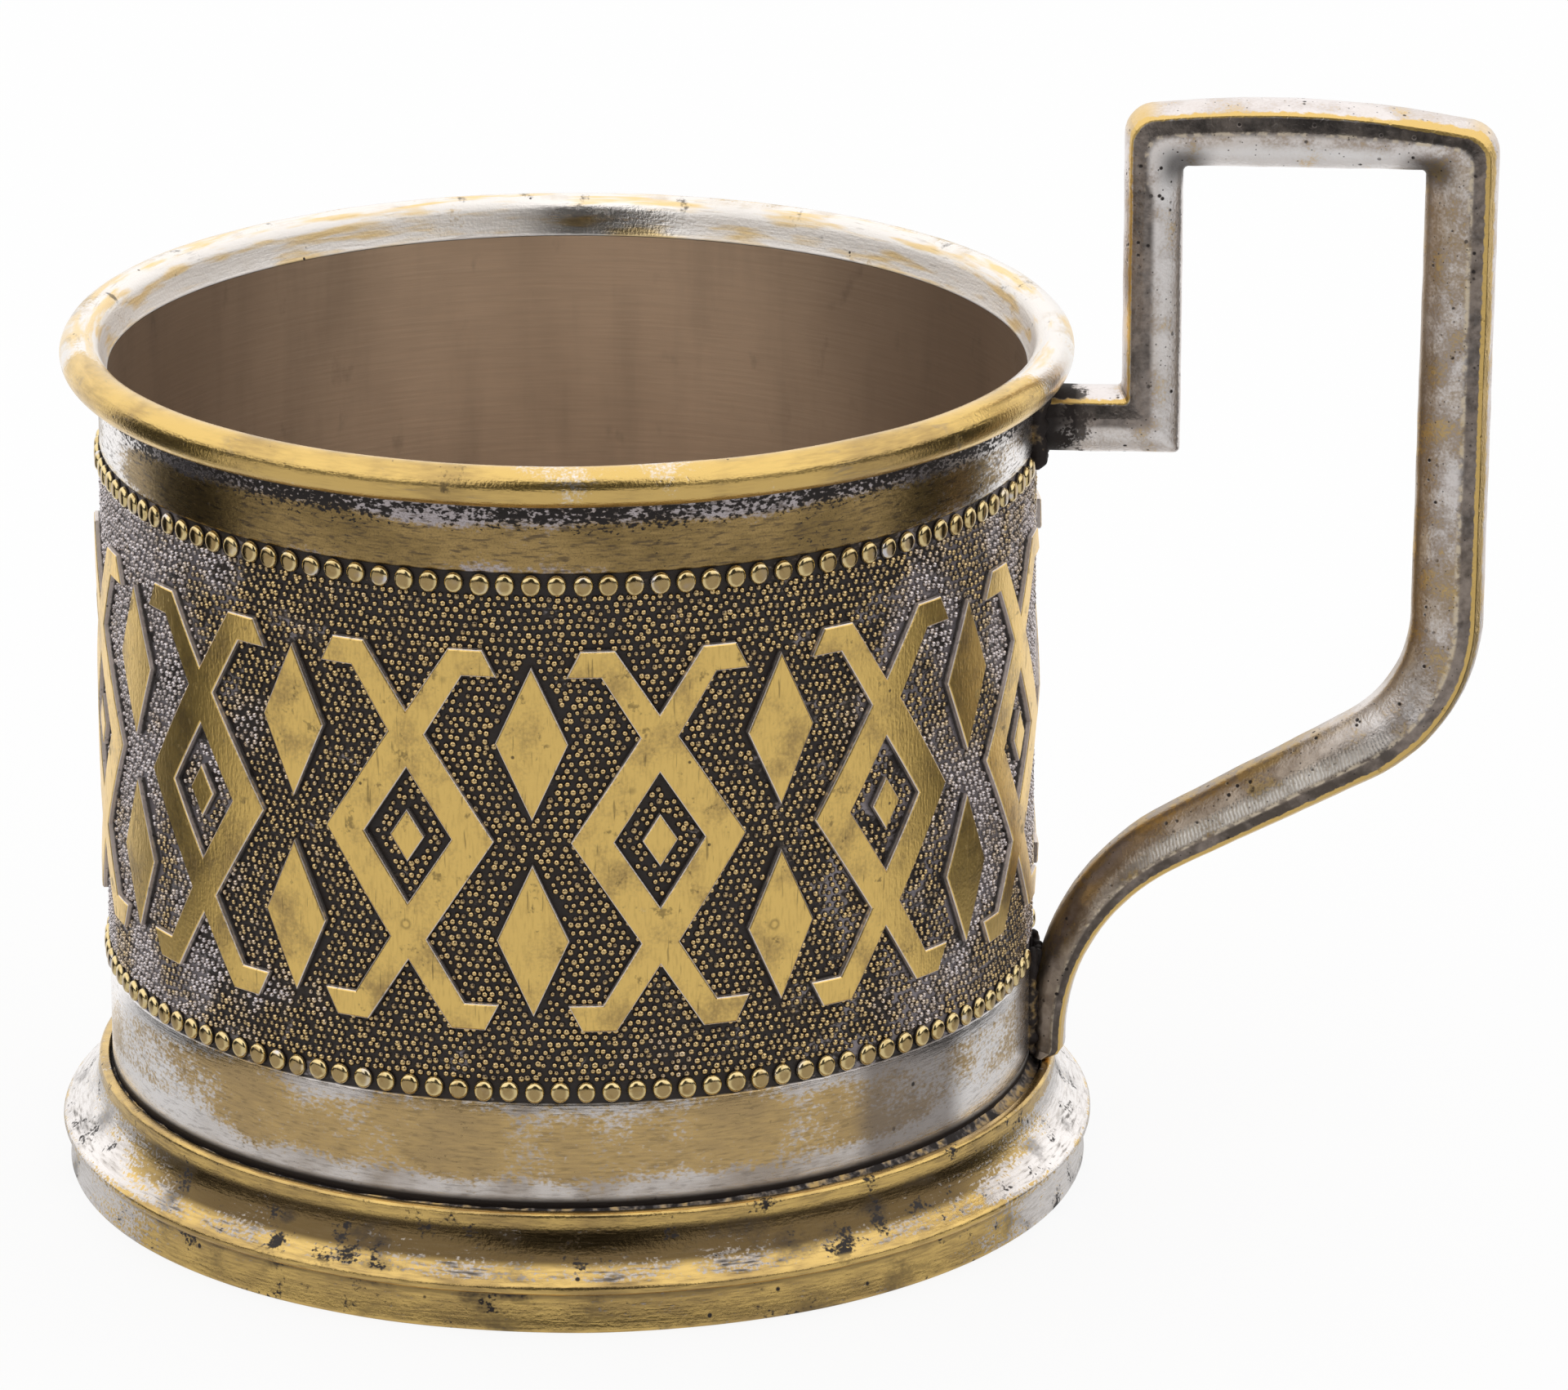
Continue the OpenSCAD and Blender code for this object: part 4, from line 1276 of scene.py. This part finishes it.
def section_shares(crown_share):
    """The bar's section as (share of depth, share of half width), round from the crown."""
    half = [(-crown_share * (1 - (w / 0.86) ** 2), w) for w in (0.16, 0.33, 0.5, 0.64, 0.76)]
    half += [(-0.012, 0.86), (0.0, 0.89), (0.018, 0.905), (0.12, 0.94), (0.22, 0.978)]
    half += [(0.262, 0.996), (0.285, 1.0), (0.31, 0.994), (0.4, 0.97), (0.52, 0.92), (0.65, 0.83)]
    half += [(0.78, 0.71), (0.88, 0.57), (0.94, 0.48), (0.98, 0.38), (1.0, 0.26)]
    return ([(-crown_share, 0.0)] + half + [(1.0, 0.0)]
            + [(depth, -width) for depth, width in reversed(half)])


class HOLDER_OT_handle(bpy.types.Operator):
    """Sweeps the handle's section along both of its edges"""

    bl_idname = "holder.handle"
    bl_label = "Handle"

    def execute(self, context):
        s = handle_sizes()
        outer, inner = handle_edges()
        shares = section_shares(s.crown / GRIP_DEPTH)
        tail_round, tail_round_share = 0.9 * MM, 0.45
        bm = bmesh.new()
        depth_layer = bm.verts.layers.float.new("depth_share")
        along_layer = bm.verts.layers.float.new("along_mm")
        travelled, face = 0.0, None
        for i, (a, b) in enumerate(zip(outer, inner)):
            if i:
                travelled += ((a + b) - (outer[i - 1] + inner[i - 1])).length / 2
            rise = a.y - outer[-1].y
            if rise < tail_round:
                a = a.lerp(b, tail_round_share * (1 - math.sqrt(1 - (1 - rise / tail_round) ** 2)))
            ring = []
            for depth, width in shares:
                flat = a + (b - a) * depth
                ring.append((Vector((flat.x, width * s.bar_w / 2, flat.y)), depth))
            if face is None:
                verts = [bm.verts.new(place) for place, _ in ring]
                face = bm.faces.new(verts)
            else:
                order = {vert.co.copy().freeze(): j for j, vert in enumerate(verts)}
                moved = bmesh.ops.extrude_face_region(bm, geom=[face], use_keep_orig=(i == 1))
                face, = only(moved["geom"], bmesh.types.BMFace)
                fresh = only(moved["geom"], bmesh.types.BMVert)
                verts = sorted(fresh, key=lambda vert: order[vert.co.copy().freeze()])
            for vert, (place, depth) in zip(verts, ring):
                vert.co = place
                vert[depth_layer] = depth
                vert[along_layer] = travelled / MM
        wander(bm, amount=s.unevenness, size=2.4 * MM)
        wander(bm, amount=s.unevenness * 0.4, size=0.7 * MM, seed=4.0)
        settle("cast_handle", mesh_of(bm), ["handle"],
               [handle_finish()], sharp_angle=26.0)
        return {"FINISHED"}


# Solder joints

def arm_spots(random):
    """Blobs of solder beside, under and over the arm, as lumps takes them."""
    bar, wall = handle_sizes().bar_w / 2 / MM, SLEEVE_R / MM
    top = (ARM_Z - TABLE_Z) / MM
    low = top - ARM_DEPTH / MM
    spots = []
    for side in (-1, 1):
        for z in np.arange(low - 0.2, top + 0.5, 0.55):
            spots.append((wall + 0.15, side * (bar + 0.1), z, random.uniform(0.5, 0.85)))
    for y in np.arange(-bar, bar + 0.1, 0.6):
        spots.append((wall + 0.35, y, low - 0.15, random.uniform(0.5, 0.75)))
        spots.append((wall + 0.5, y, top + 0.35, random.uniform(0.45, 0.7)))
    return spots


def tail_spots(random):
    """Blobs along both sides of the tail, in the crotch above it and one drip at its foot."""
    bar, wall = handle_sizes().bar_w / 2 / MM, SLEEVE_R / MM
    spots = []
    for side in (-1, 1):
        for z in np.arange(9.0, 17.2, 0.5):
            spots.append((wall + 0.1, side * (bar - 0.75), z, random.uniform(0.34, 0.6)))
    for z in np.arange(14.2, 16.7, 0.45):
        for y in (-0.9, 0.0, 0.9):
            spots.append((wall + 0.25 + 0.12 * (z - 14.0), y, z, 0.42))
    return spots + [(wall + 0.75, -1.4, 8.75, 0.5)]


def lumps(spots, seed):
    """Mesh of uneven blobs run together: (x, y, height above the table, radius) in millimetres."""
    bm = bmesh.new()
    for x, y, z, radius in spots:
        made = bmesh.ops.create_icosphere(bm, subdivisions=3, radius=radius * MM)
        bmesh.ops.translate(bm, verts=made["verts"], vec=(x * MM, y * MM, TABLE_Z + z * MM))
    melted = applied(
        plain_mesh(bm), ("REMESH", {"mode": "VOXEL", "voxel_size": 0.14 * MM}),
        ("SMOOTH", {"iterations": 6}))
    bm = bmesh.new()
    bm.from_mesh(melted)
    wander(bm, amount=0.16 * MM, size=0.8 * MM, seed=seed)
    return mesh_of(bm)


class HOLDER_OT_joints(bpy.types.Operator):
    """Runs black solder round both ends of the handle and down the sleeve's seam"""

    bl_idname = "holder.joints"
    bl_label = "Solder joints"

    def execute(self, context):
        random = np.random.default_rng(SEED)
        skin = solder_finish()
        for name, spots, seed, node in (
                ("arm_joint", arm_spots(random), 1.0, "upper_handle_solder"),
                ("tail_joint", tail_spots(random), 2.0, "lower_handle_solder")):
            settle(name, lumps(spots, seed), [node], [skin], sharp_angle=70.0)
        self.seam(skin)
        return {"FINISHED"}

    def seam(self, skin):
        """The seam's strip stands a hair proud of the sheet on both sides."""
        proud = 0.04 * MM
        low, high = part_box("sleeve_seam_solder")
        steps = 90
        bm = bmesh.new()
        bmesh.ops.create_cube(bm, size=1)
        bmesh.ops.scale(
            bm, verts=bm.verts,
            vec=(SLEEVE_R - WELL_R + 2 * proud, high.y - low.y + 2 * proud, high.z - low.z))
        bmesh.ops.translate(
            bm, verts=bm.verts, vec=((SLEEVE_R + WELL_R) / 2, 0, (low.z + high.z) / 2))
        slice_up(bm, [(0, 0, z) for z in spread(low.z, high.z, steps)], (0, 0, 1), dist=MERGE)
        waver = 0.07 * MM
        for vert in bm.verts:
            vert.co.y += waver * noise.noise(Vector((0, 0, vert.co.z / MM)))
        settle("seam_strip", mesh_of(bm), ["sleeve_seam_solder"],
               [skin], sharp_angle=60.0)


# Stage

CAMERA_PLACE = (55.0 * MM, -698.7 * MM, 261.7 * MM)
CAMERA_PAN = -0.0555
CAMERA_TILT = 0.322261
CAMERA_ROLL = 0.0007
CAMERA_LENS, CAMERA_SENSOR, CAMERA_NEAR = 224.8, 36.0, 0.01
TABLE_HALF, TABLE_GAP = 3.0, 0.02 * MM
PAPER_SHARE = 0.88
FRONT = Vector(CAMERA_PLACE[:2]).normalized()
# Edges in the light, by how far a direction faces the camera: 1 straight at it, -1 away from it
GAP_NEAR, GAP_FAR, GAP_SOFT = 0.11, -0.38, 0.12
FRONT_EDGE, FRONT_SOFT = 0.93, 0.05
# The ceiling's lower edge, as the height of a direction of length 1
CEILING_SIDES, CEILING_FRONT, CEILING_SOFT = 0.22, 0.76, 0.07
# The dark gaps on the table start between these distances from the axis
GAP_INNER, GAP_OUTER, GAP_DARKNESS = 0.06, 0.11, 0.97


def direction_parts(bench, direction):
    """How far a direction points to the camera's side of the object, and its height."""
    level = bench.vector("NORMALIZE", bench.vector("MULTIPLY", direction, (1, 1, 0)))
    facing = bench.vector("DOT_PRODUCT", level, (FRONT.x, FRONT.y, 0))
    height = bench.out(bench.node("ShaderNodeSeparateXYZ", None, {0: direction}), 2)
    return facing, height


def light_the_room(stage):
    world = bpy.data.worlds.new("studio")
    bpy.context.scene.world = world
    world.use_nodes = True
    w = Bench(world.node_tree)
    direction = w.out(w.node("ShaderNodeTexCoord"), "Generated")
    facing, height = direction_parts(w, direction)
    front = w.step(facing, FRONT_EDGE - FRONT_SOFT, FRONT_EDGE + FRONT_SOFT)
    ceiling_edge = CEILING_SIDES + (CEILING_FRONT - CEILING_SIDES) * front
    overhead = w.step(height - ceiling_edge, -CEILING_SOFT, CEILING_SOFT)
    behind = w.step(facing, GAP_FAR, GAP_FAR - GAP_SOFT)
    lit = behind * stage.sides + (1 - behind) * stage.gloom
    light = overhead * stage.ceiling + (1 - overhead) * lit
    seen = w.node("ShaderNodeLightPath")
    camera_ray = w.out(seen, "Is Camera Ray")
    strength = camera_ray + (1 - camera_ray) * light
    sky = w.node("ShaderNodeBackground", None, {"Color": (1, 1, 1, 1), "Strength": strength})
    w.node("ShaderNodeOutputWorld", None, {"Surface": w.out(sky)})


def table_finish(stage):
    """White table. Reflections see it lit, with two dark gaps beside the object."""
    material = bpy.data.materials.new("white_table")
    material.use_nodes = True
    b = Bench(material.node_tree)
    place = b.out(b.node("ShaderNodeTexCoord"), "Object")
    facing, _ = direction_parts(b, place)
    reach = b.vector("LENGTH", b.vector("MULTIPLY", place, (1, 1, 0)))
    behind = b.step(facing, GAP_FAR, GAP_FAR - GAP_SOFT)
    gap = b.step(facing, 2 * GAP_NEAR, GAP_NEAR) * (1 - behind)
    gap = gap * b.step(reach, GAP_INNER, GAP_OUTER)
    glow = behind * stage.sides + (1 - behind) * stage.table * (1 - GAP_DARKNESS * gap)
    glow = b.node("ShaderNodeEmission", None, {"Color": (1, 1, 1, 1), "Strength": glow})
    chalk = b.node("ShaderNodeBsdfDiffuse", None, {"Color": (0.9, 0.9, 0.9, 1)})
    paper = b.node("ShaderNodeEmission", None, {"Color": (1, 1, 1, 1), "Strength": 1.0})
    front = b.node("ShaderNodeMixShader", None,
                   {0: PAPER_SHARE, 1: b.out(chalk), 2: b.out(paper)})
    seen = b.node("ShaderNodeLightPath")
    both = b.node("ShaderNodeMixShader", None,
                  {0: b.out(seen, "Is Camera Ray"), 1: b.out(glow), 2: b.out(front)})
    b.node("ShaderNodeOutputMaterial", None, {"Surface": b.out(both)})
    return material


class HOLDER_OT_stage(bpy.types.Operator):
    """Sets the table, the soft light and the camera"""

    bl_idname = "holder.stage"
    bl_label = "Stage"

    def execute(self, context):
        scene = context.scene
        scene.view_settings.view_transform = "Standard"
        light_the_room(scene.holder_stage)
        bm = bmesh.new()
        bmesh.ops.create_grid(bm, x_segments=1, y_segments=1, size=TABLE_HALF)
        bmesh.ops.translate(bm, verts=bm.verts, vec=(0, 0, TABLE_Z - TABLE_GAP))
        table = bpy.data.objects.new("table", plain_mesh(bm))
        scene.collection.objects.link(table)
        table.data.materials.append(table_finish(scene.holder_stage))
        lens = bpy.data.cameras.new("camera")
        lens.lens, lens.sensor_width, lens.clip_start = CAMERA_LENS, CAMERA_SENSOR, CAMERA_NEAR
        camera = bpy.data.objects.new("camera", lens)
        camera.location = CAMERA_PLACE
        turn = (Matrix.Rotation(-CAMERA_PAN, 4, "Z")
                @ Matrix.Rotation(math.pi / 2 - CAMERA_TILT, 4, "X")
                @ Matrix.Rotation(CAMERA_ROLL, 4, "Z"))
        camera.rotation_euler = turn.to_euler()
        scene.collection.objects.link(camera)
        scene.camera = camera
        return {"FINISHED"}


class HOLDER_PT_panel(bpy.types.Panel):
    """Lists the holder's sizes and the steps that build it"""

    bl_idname = "HOLDER_PT_panel"
    bl_label = "Tea Glass Holder"
    bl_space_type = "VIEW_3D"
    bl_region_type = "UI"
    bl_category = "Tea Holder"

    def draw(self, context):
        layout = self.layout
        for group in (name for name, _ in GROUPS):
            box = layout.box()
            settings = getattr(context.scene, group)
            for key in settings.__annotations__:
                box.prop(settings, key)
        for step in STEPS:
            layout.operator(step.bl_idname)


GROUPS = (
    ("holder_sleeve", SleeveSizes), ("holder_frieze", FriezeSizes),
    ("holder_handle", HandleSizes), ("holder_finish", Finish), ("holder_stage", Stage))
STEPS = (
    HOLDER_OT_sleeve, HOLDER_OT_beads, HOLDER_OT_frieze, HOLDER_OT_stipple, HOLDER_OT_rim,
    HOLDER_OT_foot, HOLDER_OT_floor, HOLDER_OT_handle, HOLDER_OT_joints, HOLDER_OT_stage)
CLASSES = tuple(group for _, group in GROUPS) + STEPS + (HOLDER_PT_panel,)


def register():
    for item in CLASSES:
        bpy.utils.register_class(item)
    for name, group in GROUPS:
        setattr(bpy.types.Scene, name, PointerProperty(type=group))


def unregister():
    for name, _ in reversed(GROUPS):
        delattr(bpy.types.Scene, name)
    for item in reversed(CLASSES):
        bpy.utils.unregister_class(item)


def main():
    register()
    for step in STEPS:
        area, name = step.bl_idname.split(".")
        getattr(getattr(bpy.ops, area), name)()


if __name__ == "__main__":
    main()
